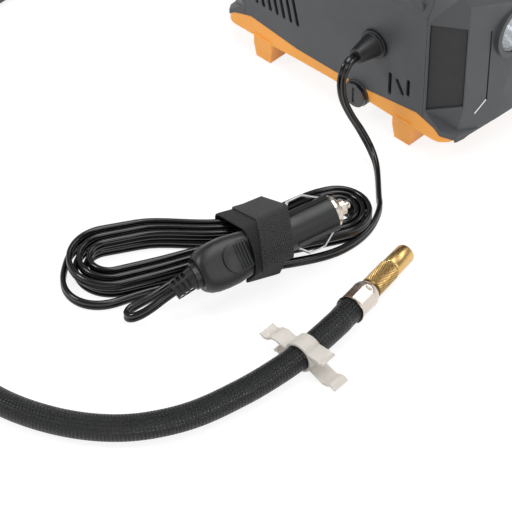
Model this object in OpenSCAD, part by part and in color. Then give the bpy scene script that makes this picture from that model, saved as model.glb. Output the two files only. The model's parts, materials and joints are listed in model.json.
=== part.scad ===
// Portable tyre inflator: a 12 V piston compressor in an angular two-part
// housing on a feet-and-tray base, with its power lead and braided air hose.
// Millimetres. +X front end, -Y cord side, +Y control side, +Z up.
// Origin: middle of the body, on the surface that it stands on.

/* [Body] */
// Length of the body, tip to tip of the two bowed ends
body_l = 184; // [180:1:196]
// Width of the body across the flat sides
body_w = 91; // [88:1:100]
// Height of the housing's flat top
body_top = 118; // [118:1:132]
// Height of the tray's underside
base_z = 15; // [14:0.5:18]
// Thickness of the moulded walls
wall = 2.6; // [2:0.1:3.2]
// Distance from the middle to the joint between shell and end cap
cap_x = 66.5; // [66:0.5:70]
// How far each end bows out in the middle
bow = 8; // [6:0.5:10]
// Gap left between moulded parts
seam = 0.2; // [0.1:0.05:0.3]

/* [Base tray] */
// Thickness of the tray's floor
tray_floor = 3; // [2.4:0.1:3.6]
// Corner radius of the tray
tray_r = 10; // [6:0.5:12]
// Length of a foot along the body
foot_l = 11; // [9:0.5:14]
// Width of a foot across the body
foot_w = 12.5; // [10:0.5:15]
// Draft of a foot on each side
foot_draft = 2.6; // [1:0.1:3.5]
// Distance from the middle to the centre of a foot
foot_x = 52.5; // [46:0.5:56]
// Thickness of the rubber pad under a foot
pad_t = 0.8; // [0.6:0.1:1.5]
// Margin left round a pad
pad_margin = 1.2; // [0.8:0.1:2]

/* [Handle] */
// Height of the handle's top face
handle_top = 151; // [149:1:160]
// Thickness of the carrying bar
bar_t = 13; // [10:0.5:15]
// Width of the carrying bar
bar_w = 28; // [22:1:34]
// Distance from the middle to the outside of a handle leg
handle_x = 62; // [58:1:64]
// Thickness of the rubber grip
grip_t = 1.6; // [1:0.1:2.5]
// Length of the rubber grip
grip_l = 66; // [50:1:72]

/* [Controls] */
// Width of the display bezel
bezel_w = 62; // [58:1:66]
// Height of the display bezel
bezel_h = 52; // [48:1:56]
// Thickness of the display bezel
bezel_t = 3; // [2.5:0.1:4]
// Height of the display's centre above the surface
display_z = 76; // [74:0.5:78]
// Width of the display window
window_w = 44; // [36:1:48]
// Height of the display window
window_h = 20; // [16:1:22]
// Radius of a push button
button_r = 4.3; // [3.5:0.1:4.8]
// Travel of a push button
button_travel = 1; // [0.6:0.1:1.4]
// Distance between neighbouring buttons
button_step = 14; // [12:0.5:15]
// Tilt of the rocker switch each way
rocker_tilt = 7; // [4:0.5:9]

/* [Pump] */
// Outside radius of the motor can
motor_r = 18.5; // [16:0.5:19]
// Length of the motor can
motor_l = 56; // [48:1:57]
// Radius of the motor shaft
shaft_r = 1.6; // [1.2:0.1:2]
// Radial clearance of a running shaft
run_gap = 0.05; // [0.02:0.01:0.08]
// Gear module
gear_m = 0.8; // [0.76:0.01:0.82]
// Throw of the crank pin
crank_throw = 4.5; // [3.5:0.1:4.7]
// Length of the connecting rod between its eyes
rod_l = 25; // [24:0.5:26]
// Bore radius of the cylinder
bore_r = 12; // [11:0.1:12.5]

/* [Power lead] */
// Width of the twin lead
lead_w = 5.8; // [5:0.1:6]
// Thickness of the twin lead
lead_t = 3; // [2.5:0.1:3.1]
// Radius of the plug's barrel
barrel_r = 10.25; // [10:0.05:10.5]
// Length of the plug's barrel
barrel_l = 45; // [40:1:46]
// Width of the hook-and-loop strap
strap_w = 18; // [16:1:24]
// Thickness of one ply of the strap
strap_t = 1.2; // [0.8:0.1:1.4]

/* [Air hose] */
// Outside radius of the braided hose
hose_r = 6.8; // [6.4:0.1:7]
// Length of the crimped ferrule
ferrule_l = 19.5; // [17:0.5:21]
// Length of the knurled grip of the chuck
knurl_l = 20; // [16:0.5:22]
// Length of the smooth tip of the chuck
tip_l = 16; // [14:0.5:18]
// Radius of the valve thread in the chuck
valve_r = 3.85; // [3.8:0.05:4]
// Width of the hose clip
clip_w = 10; // [8:0.5:13]
// Wall of the hose clip
clip_t = 1.5; // [1.2:0.1:1.8]

/* [Hidden] */
$fn = 48;
end_x = body_l/2;
half_w = body_w/2;
corner_x = end_x - bow;
bow_half = half_w - 7.5;
bow_start = 1.05;
bow_angle = atan2(bow - bow_start, bow_half);
floor_top = base_z + tray_floor;
charcoal = [0.28, 0.285, 0.29];
orange = [0.98, 0.68, 0.29];
black = [0.05, 0.05, 0.055];
rubber = [0.1, 0.1, 0.105];
steel = [0.72, 0.72, 0.73];
nickel = [0.85, 0.8, 0.76];
brass = [0.83, 0.64, 0.33];
milky = [0.85, 0.83, 0.8];
nylon = [0.9, 0.89, 0.84];

// ---- helpers ----

// A cylinder along +X from the origin
module rod_x(r, l, r2 = -1) { rotate([0, 90, 0]) cylinder(r1 = r, r2 = r2 < 0 ? r : r2, h = l); }
// A cylinder along +Y from the origin
module rod_y(r, l, r2 = -1) { rotate([-90, 0, 0]) cylinder(r1 = r, r2 = r2 < 0 ? r : r2, h = l); }
// An outline in X and Z carried along Y from y0 to y1
module slab_y(outline, y0, y1) {
    translate([0, y1, 0]) rotate([90, 0, 0]) linear_extrude(y1 - y0) polygon(outline);
}
// An outline in Y and Z carried along X from x0 to x1
module slab_x(outline, x0, x1) {
    translate([x0, 0, 0]) rotate([90, 0, 90]) linear_extrude(x1 - x0) polygon(outline);
}
module at_each(places) { for (p = places) translate(p) children(); }
module both_ends() { children(); mirror([1, 0, 0]) children(); }
module both_sides() { children(); mirror([0, 1, 0]) children(); }
module four_corners() { both_ends() both_sides() children(); }

// ---- body outlines ----

// Upper edge of the tray's band, from the middle out to the end
band_top = [[0, 22.5], [26, 22.8], [45, 25], [62, 27], [68, 25.2], [75, 22.9], [corner_x, base_z + 1]];
// Underside of the tray, from the end back to the middle
band_low = [[corner_x, base_z + 0.5], [78, base_z], [44, base_z], [24, base_z + 0.8], [0, base_z + 1.2]];
function flip(p) = [for (i = [len(p) - 1 : -1 : 0]) [-p[i][0], p[i][1]]];
function shifted(p, d) = [for (q = p) [q[0], q[1] + d]];
band_outline = concat(band_top, band_low, flip(band_low), flip(band_top));
// Everything below the band's upper edge, which the dark housing leaves free
module band_space() {
    reach = corner_x + seam;
    upper = shifted(band_top, seam);
    slab_y(concat([[reach, 0], [reach, base_z + 1]], [for (i = [len(upper) - 2 : -1 : 0]) upper[i]],
        [for (i = [1 : len(upper) - 2]) [-upper[i][0], upper[i][1]]], [[-reach, base_z + 1], [-reach, 0]]),
        -half_w - 5, half_w + 5);
}
// Cross-section of the housing, inset by d
shoulder_z = body_top - 26;
top_half = 28;
function section(d) = let (h = half_w - d, t = body_top - d)
    [[-h, base_z - 0.5], [-h, shoulder_z - d*0.5], [-h + 9.5, t - 6], [-top_half, t], [top_half, t],
    [h - 9.5, t - 6], [h, shoulder_z - d*0.5], [h, base_z - 0.5]];
// Plan of the bowed end, inset by d
function plan(d) = [[-1, -half_w + d], [corner_x - 5 - d*0.5, -half_w + d], [corner_x + bow_start - d, -bow_half + d*0.5],
    [end_x - d, 0], [corner_x + bow_start - d, bow_half - d*0.5], [corner_x - 5 - d*0.5, half_w - d], [-1, half_w - d]];
// Side view of the end, inset by d
function profile(d) = [[0, base_z - 0.5 + d], [end_x - 6 - d, base_z - 0.5 + d], [end_x - d, base_z + 4.5],
    [end_x - d, body_top - 24], [end_x - 14 - d, body_top - d], [0, body_top - d]];

module rounded_plan(l, w, r) {
    at = [[l/2 - r, w/2 - r], [-l/2 + r, w/2 - r], [-l/2 + r, -w/2 + r], [l/2 - r, -w/2 + r]];
    square([l, w - 2*r], center = true);
    square([l - 2*r, w], center = true);
    for (p = at) translate(p) circle(r);
}

// ---- base tray ----
fuse_at = [19.4, -half_w - 3.3, 17];
fuse_seat = 2.3;
fuse_l = 20;
fuse_r = 8.2;
module foot() {
    top_l = foot_l/2 + foot_draft;
    top_w = foot_w/2 + foot_draft/2;
    low = pad_t;
    high = base_z + 2;
    foot_y = half_w - 6.8;
    translate([foot_x, -foot_y, 0]) intersection() {
        slab_y([[-foot_l/2, low], [foot_l/2, low], [top_l, high], [-top_l, high]], -30, 30);
        slab_x([[-foot_w/2, low], [foot_w/2, low], [top_w, high], [-top_w, high]], -30, 30);
        linear_extrude(40) rounded_plan(2*top_l, 2*top_w, 3);
    }
}
screw_at = [[58, 33], [58, 97], [-58, 97], [-58, 62]];
module base_tray() {
    color(orange) difference() {
        union() {
            intersection() {
                slab_y(band_outline, -half_w, half_w);
                linear_extrude(60) rounded_plan(2*corner_x, body_w, tray_r);
            }
            four_corners() foot();
        }
        // hollow inside the band
        translate([0, 0, floor_top]) linear_extrude(60)
            rounded_plan(2*(corner_x - wall), body_w - 2*wall, tray_r - wall);
        // clearance for the fuse holder's boss
        translate([fuse_at[0], -half_w - 1, fuse_at[2]]) rod_y(fuse_r + seam, fuse_at[1] + fuse_seat + fuse_l + half_w + 2.4);
        // seats for the rubber pads
        four_corners() translate([foot_x, -half_w + 6.8, 0])
            translate([0, 0, -1]) cylinder(r = foot_l/2 - pad_margin + 0.01, h = 1 + pad_t + 0.6);
    }
}
module foot_pads() {
    color(rubber) four_corners() translate([foot_x, -half_w + 6.8, 0])
        cylinder(r = foot_l/2 - pad_margin, h = pad_t + 0.6);
}

// ---- housing shells ----
vent_step = 5.2;
vent_w = 2.4;
module vent_slot(l) {
    rotate([90, 0, 0]) linear_extrude(3*wall, center = true) {
        translate([-vent_w/2, 0]) square([vent_w, l]);
        circle(vent_w/2);
        translate([0, l]) circle(vent_w/2);
    }
}
module vents() {
    translate([42.5, 0, 30]) vent_slot(13);
    translate([51.6, 0, 34.4]) rotate([0, -30, 0]) vent_slot(8);
    translate([55.4, 0, 35.8]) vent_slot(9);
    for (i = [0 : 7]) translate([-26 - i*vent_step, 0, 40]) rotate([0, -14, 0]) vent_slot(34);
}
boss_r = 4;
module shell_body() {
    difference() {
        union() {
            difference() {
                slab_x(section(0), -cap_x + seam, cap_x - seam);
                slab_x(section(wall), -cap_x - 1, cap_x + 1);
                translate([-cap_x, -half_w - 1, 0]) cube([2*cap_x, body_w + 2, base_z + 2]);
            }
            at_each([for (s = screw_at) [s[0], -half_w + wall/2, s[1]]]) rod_y(boss_r, body_w - wall);
        }
        band_space();
        // screw shanks
        at_each([for (s = screw_at) [s[0], -12, s[1]]]) rod_y(1.5, half_w + 14);
    }
}
gland_at = [31, -half_w, 58];
gland_r = 7;
rocker_at = [48, half_w, 68];
rocker_w = 13;
rocker_h = 19;
module shell_left() {
    color(charcoal) difference() {
        intersection() {
            shell_body();
            translate([-cap_x, -half_w - 1, 0]) cube([2*cap_x, half_w + 1 - seam/2, body_top + 1]);
        }
        translate([0, -half_w + wall/2, 0]) vents();
        translate([0, -1, 0] + gland_at) rod_y(gland_r, wall + 2);
        translate([fuse_at[0], -half_w - 1, fuse_at[2]]) rod_y(fuse_r + seam, wall + 2);
    }
}
module shell_right() {
    open_w = bezel_w - 6;
    open_h = bezel_h - 6;
    color(charcoal) difference() {
        intersection() {
            shell_body();
            translate([-cap_x, seam/2, 0]) cube([2*cap_x, half_w + 1, body_top + 1]);
        }
        translate([0, half_w - wall/2, 0]) vents();
        translate([-open_w/2, half_w - wall - 1, display_z - 8 - open_h/2]) cube([open_w, wall + 2, open_h]);
        translate([rocker_at[0] - rocker_w/2 - 0.8, half_w - wall - 1, rocker_at[2] - rocker_h/2 - 0.8])
            cube([rocker_w + 1.6, wall + 2, rocker_h + 1.6]);
        // recesses for the screw heads
        at_each([for (s = screw_at) [s[0], half_w - 2.4, s[1]]]) rod_y(3.2, 4);
    }
}

// ---- end caps ----
// Corner chamfer: where it starts on the side and ends on the bowed face
chamfer_near = [cap_x + 1, -half_w];
chamfer_far = [end_x - 6.2, -half_w + 11.4];
chamfer_turn = atan2(chamfer_far[1] - chamfer_near[1], chamfer_far[0] - chamfer_near[0]);
chamfer_l = norm(chamfer_far - chamfer_near);
// Sloping top of the skirt that stands out under the chamfer
skirt_at = [cap_x + 2.5, 30.5];
skirt_slope = 35.2;
// Recess in the chamfer for the rubber plate: lower corners, top and depth
recess_low = [31.8, 37.6];
recess_top = 90;
recess_deep = 2;
recess_side = 0.8;
pad_plate = 1;
// Small facet between the chamfer and the bowed face: its turn and its lean
facet_turn = 19.1;
facet_lean = 6.3;
lamp_z = 74;
lamp_r = 13;
groove_y = 19;
groove_low = 36;
module on_chamfer() { translate([chamfer_near[0], chamfer_near[1], 0]) rotate([0, 0, chamfer_turn]) children(); }
// Places things on the bowed face of the cord side: local X out, local Y towards the middle
module on_bow() { translate([end_x, 0, 0]) rotate([0, 0, -bow_angle]) children(); }
module above_skirt() {
    translate([skirt_at[0], -half_w, skirt_at[1]]) rotate([0, skirt_slope, 0]) translate([-40, -20, 0]) cube([120, 50, 150]);
}
module corner_cut() {
    intersection() {
        union() {
            on_chamfer() translate([-2, -14, 0]) cube([chamfer_l + 20, 14, body_top + 1]);
            translate([chamfer_far[0], chamfer_far[1], recess_low[1]]) rotate([0, facet_lean, -facet_turn])
                translate([0, -30, -60]) cube([20, 60, 160]);
        }
        above_skirt();
    }
}
// Outline of the recess on the chamfer, inset by d
function recess_outline(d) = let (a = recess_side + d, b = chamfer_l - recess_side - d)
    [[a, recess_low[0] + d], [b, recess_low[1] + d], [b, recess_top - d], [a, recess_top - d]];
// Narrow facet along the lower edge of the bowed face
module bow_bevel() {
    on_bow() intersection() {
        slab_x([[-35, base_z - 1], [-20.5, base_z + 3.6], [0, base_z + 1.4], [0, 0], [-35, 0]], -5, 5);
        slab_y([[0, base_z + 3.6], [5, base_z + 3.6], [5, 0], [-5, 0]], -40, 5);
    }
}
// Plan of the space inside an end cap, clear of its recesses
hollow_plan = [[0, -half_w + 4.5], [cap_x, -half_w + 4.5], [corner_x - 3.5, -half_w + 13.2], [end_x - 3.4, 0],
    [corner_x - 3.5, half_w - 13.2], [cap_x, half_w - 4.5], [0, half_w - 4.5]];
module end_cap(lamp) {
    difference() {
        union() {
            intersection() {
                linear_extrude(body_top + 5) polygon(plan(0));
                slab_x(section(0), cap_x, end_x + 1);
                slab_y(profile(0), -half_w - 1, half_w + 1);
            }
            if (lamp) translate([corner_x - 2, 0, lamp_z]) rod_x(lamp_r + 3.4, bow + 2);
        }
        band_space();
        intersection() {
            translate([0, 0, base_z + 4]) linear_extrude(body_top) polygon(hollow_plan);
            slab_x(section(wall), cap_x - 1, end_x);
            slab_y(profile(wall), -half_w, half_w);
        }
        both_sides() {
            corner_cut();
            on_chamfer() slab_y(recess_outline(0), -1, recess_deep);
            bow_bevel();
            on_bow() {
                translate([-1, -groove_y - 0.5, groove_low]) cube([2, 1, 46]);
                translate([-1, -groove_y, groove_low]) rotate([-51, 0, 0]) translate([0, -0.6, -10.5]) cube([2, 1.2, 11]);
            }
        }
        if (lamp) translate([corner_x - 12, 0, lamp_z]) rod_x(lamp_r + 0.2, 40);
    }
}
module front_cap() { color(charcoal) end_cap(true); }
hose_gland_at = [-end_x, 0, 27];
gland_shank_r = 8;
module rear_cap() {
    color(charcoal) difference() {
        mirror([1, 0, 0]) end_cap(false);
        translate([-end_x - 1, 0, hose_gland_at[2]]) rod_x(gland_shank_r, 20);
        // air inlet of the fan
        for (i = [-3 : 3]) translate([-end_x - 1, i*vent_step - vent_w/2, 52]) cube([20, vent_w, 34 - 2*abs(i)]);
    }
}
module corner_pads() {
    color(black) four_corners() on_chamfer() slab_y(recess_outline(0.15), recess_deep - pad_plate, recess_deep);
}
module trim_bars() {
    color(nickel) both_ends() both_sides() on_bow()
        translate([-0.99, -groove_y, groove_low]) rotate([-51, 0, 0]) translate([0, -0.59, -10.4]) cube([1.2, 1.18, 9.8]);
}

// ---- handle ----
module handle_arch() {
    inner = handle_x - 16;
    low = body_top;
    bar_low = handle_top - bar_t;
    color(charcoal) slab_y([[-handle_x, low], [-handle_x + 10, handle_top - 4], [-handle_x + 17, handle_top],
        [handle_x - 17, handle_top], [handle_x - 10, handle_top - 4], [handle_x, low], [inner, low],
        [inner - 7, bar_low - 2], [inner - 10, bar_low], [-inner + 10, bar_low], [-inner + 7, bar_low - 2],
        [-inner, low]], -bar_w/2, bar_w/2);
}
module handle_grip() {
    h = bar_t + 2*grip_t;
    w = bar_w + 2*grip_t;
    color(rubber) translate([-grip_l/2, 0, handle_top - bar_t/2]) difference() {
        rotate([90, 0, 90]) linear_extrude(grip_l) rounded_plan(w, h, 4);
        translate([-1, -bar_w/2, -bar_t/2]) cube([grip_l + 2, bar_w, bar_t]);
        for (i = [0 : 7]) translate([8 + i*(grip_l - 16)/7 - 0.8, -w/2 - 1, h/2 - 0.7]) cube([1.6, w + 2, 2]);
    }
}

// ---- display, buttons and switch on the control side ----
bezel_z = display_z - 8;
button_z = display_z - 22;
button_proud = 0.6;
button_xs = [for (i = [-1.5 : 1 : 1.5]) i*button_step];
board_y = half_w - 9;
board_t = 1.6;
board_edge = 4;
screen_t = 4.6;
switch_r = 2.4;
switch_h = 2.6;
module display_bezel() {
    color(black) difference() {
        translate([-bezel_w/2, half_w, bezel_z - bezel_h/2]) cube([bezel_w, bezel_t, bezel_h]);
        translate([-window_w/2, half_w - 1, display_z - window_h/2]) cube([window_w, bezel_t + 2, window_h]);
        at_each([for (x = button_xs) [x, half_w - 1, button_z]]) rod_y(button_r + 0.2, bezel_t + 2);
    }
}
module display_window() {
    color([0.6, 0.75, 0.8]) {
        translate([-window_w/2, half_w + 0.4, display_z - window_h/2]) cube([window_w, bezel_t - 1.2, window_h]);
        translate([-window_w/2 - 2, half_w - 1, display_z - window_h/2 - 2]) cube([window_w + 4, 1, window_h + 4]);
        translate([-window_w/2, half_w - 0.5, display_z - window_h/2]) cube([window_w, 1, window_h]);
    }
}
module display_board() {
    color([0.1, 0.35, 0.2]) {
        translate([-bezel_w/2 + board_edge, board_y, bezel_z - bezel_h/2 + board_edge])
            cube([bezel_w - 2*board_edge, board_t, bezel_h - 2*board_edge]);
        translate([-window_w/2, board_y + board_t, display_z - window_h/2]) cube([window_w, screen_t, window_h]);
        at_each([for (x = button_xs) [x, board_y + board_t, button_z]]) rod_y(switch_r, switch_h);
    }
}
module push_button(i) {
    color(i == 0 ? [0.85, 0.2, 0.12] : [0.75, 0.76, 0.78]) translate([button_xs[i], 0, button_z]) {
        translate([0, half_w - 0.3, 0]) rod_y(button_r, bezel_t + 0.3 + button_proud);
        translate([0, half_w - 1.5, 0]) rod_y(button_r + 1.2, 1.2);
        translate([0, board_y + board_t + switch_h + button_travel + 0.2, 0])
            rod_y(1.8, half_w - 1.5 - board_y - board_t - switch_h - button_travel);
    }
}
module button_power() { push_button(0); }
module button_mode() { push_button(1); }
module button_plus() { push_button(2); }
module button_minus() { push_button(3); }
module switch_frame() {
    color(black) translate(rocker_at) difference() {
        union() {
            translate([-rocker_w/2 - 2, 0, -rocker_h/2 - 2]) cube([rocker_w + 4, 1.6, rocker_h + 4]);
            translate([-rocker_w/2 - 0.8, -10, -rocker_h/2 - 0.8]) cube([rocker_w + 1.6, 10, rocker_h + 1.6]);
        }
        translate([-rocker_w/2 + 0.6, -8, -rocker_h/2 + 0.6]) cube([rocker_w - 1.2, 12, rocker_h - 1.2]);
        translate([-rocker_w/2 + 0.1, -2, 0]) rod_x(1.25, rocker_w - 0.2);
    }
}
module rocker_switch() {
    arm = rocker_h/2 - 1.4;
    color([0.7, 0.1, 0.08]) translate(rocker_at + [0, -2, 0]) rotate([-rocker_tilt, 0, 0]) {
        slab_x([[-2, -3], [-2, 3], [1.6, arm], [4.6, arm], [3.2, 0], [4.6, -arm], [1.6, -arm]],
            -rocker_w/2 + 0.9, rocker_w/2 - 0.9);
        translate([-rocker_w/2 + 0.2, 0, 0]) rod_x(1.2, rocker_w - 0.4);
    }
}

// ---- lamp ----
lens_t = 4;
lens_x = end_x - lens_t - 0.8;
reflector_l = 12;
module lamp_reflector() {
    color(nickel) translate([lens_x - reflector_l, 0, lamp_z]) difference() {
        rod_x(lamp_r + 0.1, reflector_l);
        translate([1.5, 0, 0]) rod_x(4, reflector_l - 1, lamp_r - 1);
    }
}
module lamp_lens() {
    color([0.85, 0.9, 0.95]) translate([lens_x, 0, lamp_z]) rod_x(lamp_r + 0.1, lens_t);
}

// ---- fuse, gland ----
module fuse_holder() {
    color(charcoal) translate([fuse_at[0], fuse_at[1] + fuse_seat, fuse_at[2]]) difference() {
        rod_y(fuse_r, fuse_l);
        translate([0, -1, 0]) rod_y(5.6, fuse_l - 2);
    }
}
module fuse_cap() {
    color(black) translate(fuse_at) difference() {
        union() {
            rod_y(fuse_r - 0.5, 2.2);
            translate([0, 2.2, 0]) rod_y(5.5, fuse_l - 4);
        }
        translate([-0.9, -1, -5.2]) cube([1.8, 2, 10.4]);
    }
}
boot_l = 16;
boot_tip_r = 4.4;
module cord_gland() {
    color(black) translate(gland_at) {
        translate([0, -2.2, 0]) rod_y(gland_r + 1.8, 2.2);
        rod_y(gland_r, wall + 2);
        translate([0, -boot_l, 0]) rod_y(boot_tip_r, boot_l - 2.2, gland_r);
    }
}
hose_boot_l = 20;
module hose_gland() {
    color(black) translate(hose_gland_at) {
        translate([-1.4, 0, 0]) rod_x(gland_shank_r, 9.4);
        translate([-4.5, 0, 0]) rod_x(10.5, 3.1);
        translate([-hose_boot_l, 0, 0]) rod_x(hose_r + 1.2, hose_boot_l - 4.5, 9.2);
    }
}

// ---- motor ----
motor_z = floor_top + 1.5 + motor_r;
// The air line runs down between the rear cap and the fan, and the pump is lined up from there
line_leg_x = -end_x + 14;
fan_x = line_leg_x + 6.5;
motor_back = fan_x + 9.5;
motor_front = motor_back + motor_l;
module motor_can() {
    color(steel) translate([motor_back, 0, motor_z]) difference() {
        rod_x(motor_r, motor_l);
        translate([-1, 0, 0]) rod_x(motor_r - 1.4, motor_l - 1);
        rod_x(shaft_r + run_gap, motor_l + 1);
    }
}
module motor_saddle() {
    color(steel) difference() {
        translate([motor_back + 6, -10, floor_top]) cube([motor_l - 12, 20, 5]);
        translate([motor_back, 0, motor_z]) rod_x(motor_r, motor_l);
    }
}
module motor_end_cap() {
    color(black) translate([motor_back - 2, 0, motor_z]) difference() {
        union() {
            rod_x(motor_r, 2);
            translate([2, 0, 0]) rod_x(6, 4);
        }
        translate([-1, 0, 0]) rod_x(shaft_r + run_gap, 9);
    }
}
pinion_teeth = 10;
crank_teeth = 44;
crank_z = motor_z + gear_m*(pinion_teeth + crank_teeth)/2;
gear_x = motor_front + 6;
gear_t = 7;
module armature_shaft() {
    color([0.55, 0.4, 0.28]) translate([0, 0, motor_z]) {
        translate([fan_x, 0, 0]) rod_x(shaft_r, gear_x + gear_t - fan_x);
        translate([motor_back + 9, 0, 0]) rod_x(motor_r - 6, motor_l - 20);
        translate([motor_back + 5, 0, 0]) rod_x(5, 3);
    }
}
// One tooth flank pair as a polygon on the pitch circle
function tooth(n, i, tip) = let (rp = gear_m*n/2, ra = rp + 0.9*gear_m, rr = rp - 1.15*gear_m, a = 360*i/n,
    wp = 0.42*180/n, wr = wp + 40/n, wt = wp - tip/n)
    [for (q = [[rr, -wr], [rp, -wp], [ra, -wt], [ra, wt], [rp, wp], [rr, wr]]) q[0]*[cos(a + q[1]), sin(a + q[1])]];
module gear_disc(n, t, tip) {
    rotate([90, 0, 90]) linear_extrude(t) polygon([for (i = [0 : n - 1]) each tooth(n, i, tip)]);
}
module drive_pinion() {
    color(brass) translate([gear_x, 0, motor_z]) difference() {
        gear_disc(pinion_teeth, gear_t, 44);
        translate([-1, 0, 0]) rod_x(shaft_r, gear_t + 2);
    }
}
fan_r = 16;
module cooling_fan() {
    color(nylon) translate([fan_x, 0, motor_z]) difference() {
        union() {
            rod_x(4.5, 6);
            for (i = [0 : 6]) rotate([360*i/7, 0, 0]) translate([3, 0, 4]) rotate([0, 0, 38])
                translate([-3, -0.6, -1]) cube([6, 1.2, fan_r - 3]);
        }
        translate([-1, 0, 0]) rod_x(shaft_r, 9);
    }
}

// ---- crank drive ----
plate_x = motor_front;
plate_t = 4;
cyl_x = gear_x + 13;
frame_w = 42;
shelf_z = crank_z + gear_m*(crank_teeth/2 + 1) + 1.2;
shelf_t = 3.2;
bush_r = 6.5;
axle_r = 4;
module gear_frame() {
    color([0.6, 0.61, 0.62]) difference() {
        union() {
            translate([plate_x, -frame_w/2, floor_top]) cube([plate_t, frame_w, shelf_z + shelf_t - floor_top]);
            translate([plate_x, -frame_w/2 + 4, shelf_z]) cube([cyl_x + fin_r + 2.4 - plate_x, frame_w - 8, shelf_t]);
        }
        translate([plate_x - 1, 0, motor_z]) rod_x(shaft_r + 0.6, plate_t + 2);
        translate([plate_x - 1, 0, crank_z]) rod_x(bush_r, plate_t + 2);
        translate([cyl_x, 0, shelf_z - 1]) cylinder(r = bore_r - 1, h = shelf_t + 2);
    }
}
module crank_bearing() {
    color(brass) translate([plate_x, 0, crank_z]) difference() {
        rod_x(bush_r, plate_t + 1);
        translate([-1, 0, 0]) rod_x(axle_r + run_gap, plate_t + 3);
    }
}
pin_r = 3;
module crank_gear() {
    color(steel) translate([gear_x, 0, crank_z]) difference() {
        union() {
            gear_disc(crank_teeth, gear_t, 30);
            translate([plate_x + 0.3 - gear_x, 0, 0]) rod_x(axle_r, gear_x - plate_x);
            // counterweight opposite the pin
            translate([gear_t, 0, 0]) intersection() {
                rod_x(14, 1.6);
                translate([0, -14, 6]) cube([2, 28, 12]);
            }
        }
        translate([1, 0, -crank_throw]) rod_x(pin_r, gear_t + 2);
        for (a = [60, 120, 240, 300]) rotate([a, 0, 0]) translate([-1, 0, 11]) rod_x(2.6, gear_t + 1);
    }
}
rod_x0 = gear_x + 10;
rod_t = 6;
module crank_pin() {
    color(steel) translate([0, 0, crank_z - crank_throw]) {
        translate([gear_x + 1, 0, 0]) rod_x(pin_r, rod_x0 + rod_t + 1 - gear_x - 1);
        translate([rod_x0 + rod_t + 0.4, 0, 0]) rod_x(pin_r + 1.5, 1.4);
    }
}
eye_r = 3.5;
module con_rod() {
    color([0.78, 0.78, 0.76]) translate([rod_x0, 0, crank_z - crank_throw]) difference() {
        union() {
            rod_x(6, rod_t);
            translate([0, 0, rod_l]) rod_x(eye_r, rod_t);
            translate([0.8, -2.5, 0]) cube([rod_t - 1.6, 5, rod_l]);
        }
        translate([-1, 0, 0]) rod_x(pin_r + run_gap, rod_t + 2);
        translate([-1, 0, rod_l]) rod_x(1.8, rod_t + 2);
    }
}
cyl_low = shelf_z + shelf_t;
crown_low = crank_z + crank_throw + rod_l + eye_r + 0.4;
crown_t = 2.6;
piston_low = cyl_low + 0.4;
piston_r = bore_r - 0.3;
cyl_top = crown_low + crown_t + 2*crank_throw + 0.5;
module piston() {
    h = crown_low + crown_t - piston_low;
    color([0.7, 0.7, 0.72]) translate([cyl_x, 0, piston_low]) difference() {
        cylinder(r = piston_r, h = h);
        translate([0, 0, -1]) cylinder(r = piston_r - 1.9, h = crown_low - piston_low + 1);
        // ring groove
        translate([0, 0, h - 4.6]) difference() {
            cylinder(r = piston_r + 1, h = 2.2);
            cylinder(r = piston_r - 1, h = 2.2);
        }
    }
}
module piston_seal() {
    color(black) translate([cyl_x, 0, crown_low + crown_t - 4.6]) difference() {
        cylinder(r = bore_r - run_gap, h = 2.2);
        translate([0, 0, -1]) cylinder(r = piston_r - 1, h = 5);
    }
}
fin_r = 14.6;
module cylinder_body() {
    h = cyl_top - cyl_low;
    color([0.66, 0.67, 0.68]) translate([cyl_x, 0, cyl_low]) difference() {
        union() {
            cylinder(r = bore_r + 1.4, h = h);
            for (z = [0 : 4.2 : h - 2.4]) translate([0, 0, z]) cylinder(r = fin_r, h = 2);
            translate([0, 0, h - 2]) cylinder(r = fin_r, h = 2);
        }
        translate([0, 0, -1]) cylinder(r = bore_r, h = h + 2);
    }
}
head_h = 6;
outlet_z = cyl_top + 3;
module cylinder_head() {
    color([0.55, 0.56, 0.58]) difference() {
        union() {
            translate([cyl_x, 0, cyl_top]) cylinder(r = fin_r, h = head_h);
            translate([cyl_x - fin_r - 7, 0, outlet_z]) rod_x(2.4, 9);
        }
        translate([cyl_x, 0, cyl_top - 1]) cylinder(r = 8, h = 4.5);
        translate([cyl_x - fin_r - 8, 0, outlet_z - 0.4]) rod_x(1.2, fin_r + 2);
    }
}
module reed_valve() {
    color(steel) translate([cyl_x, 0, cyl_top + 0.8]) difference() {
        cylinder(r = 8, h = 0.6);
        translate([3, 0, -1]) cylinder(r = 1.6, h = 3);
    }
}
line_r = 3.9;
line_bend = 12;
line_foot_bend = 8;
module line_arc(r, tube, a0) { rotate([90, 0, 0]) rotate([0, 0, a0]) rotate_extrude(angle = 90) translate([r, 0]) circle(tube); }
module line_run(tube) {
    start = cyl_x - fin_r - 0.6;
    low = hose_gland_at[2] + line_foot_bend;
    translate([line_leg_x + line_bend, 0, outlet_z]) rod_x(tube, start - line_leg_x - line_bend);
    translate([line_leg_x + line_bend, 0, outlet_z - line_bend]) line_arc(line_bend, tube, 90);
    translate([line_leg_x, 0, low]) cylinder(r = tube, h = outlet_z - line_bend - low);
}
module air_line() {
    color([0.2, 0.2, 0.22]) difference() {
        union() {
            line_run(line_r);
            translate([line_leg_x, 0, hose_gland_at[2]]) cylinder(r = line_r, h = line_foot_bend);
            translate([-end_x + 8, 0, hose_gland_at[2]]) rod_x(line_r, line_leg_x + end_x - 8 + line_r);
        }
        translate([cyl_x - fin_r - 7.5, 0, outlet_z]) rod_x(2.4, 8);
    }
}
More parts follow.
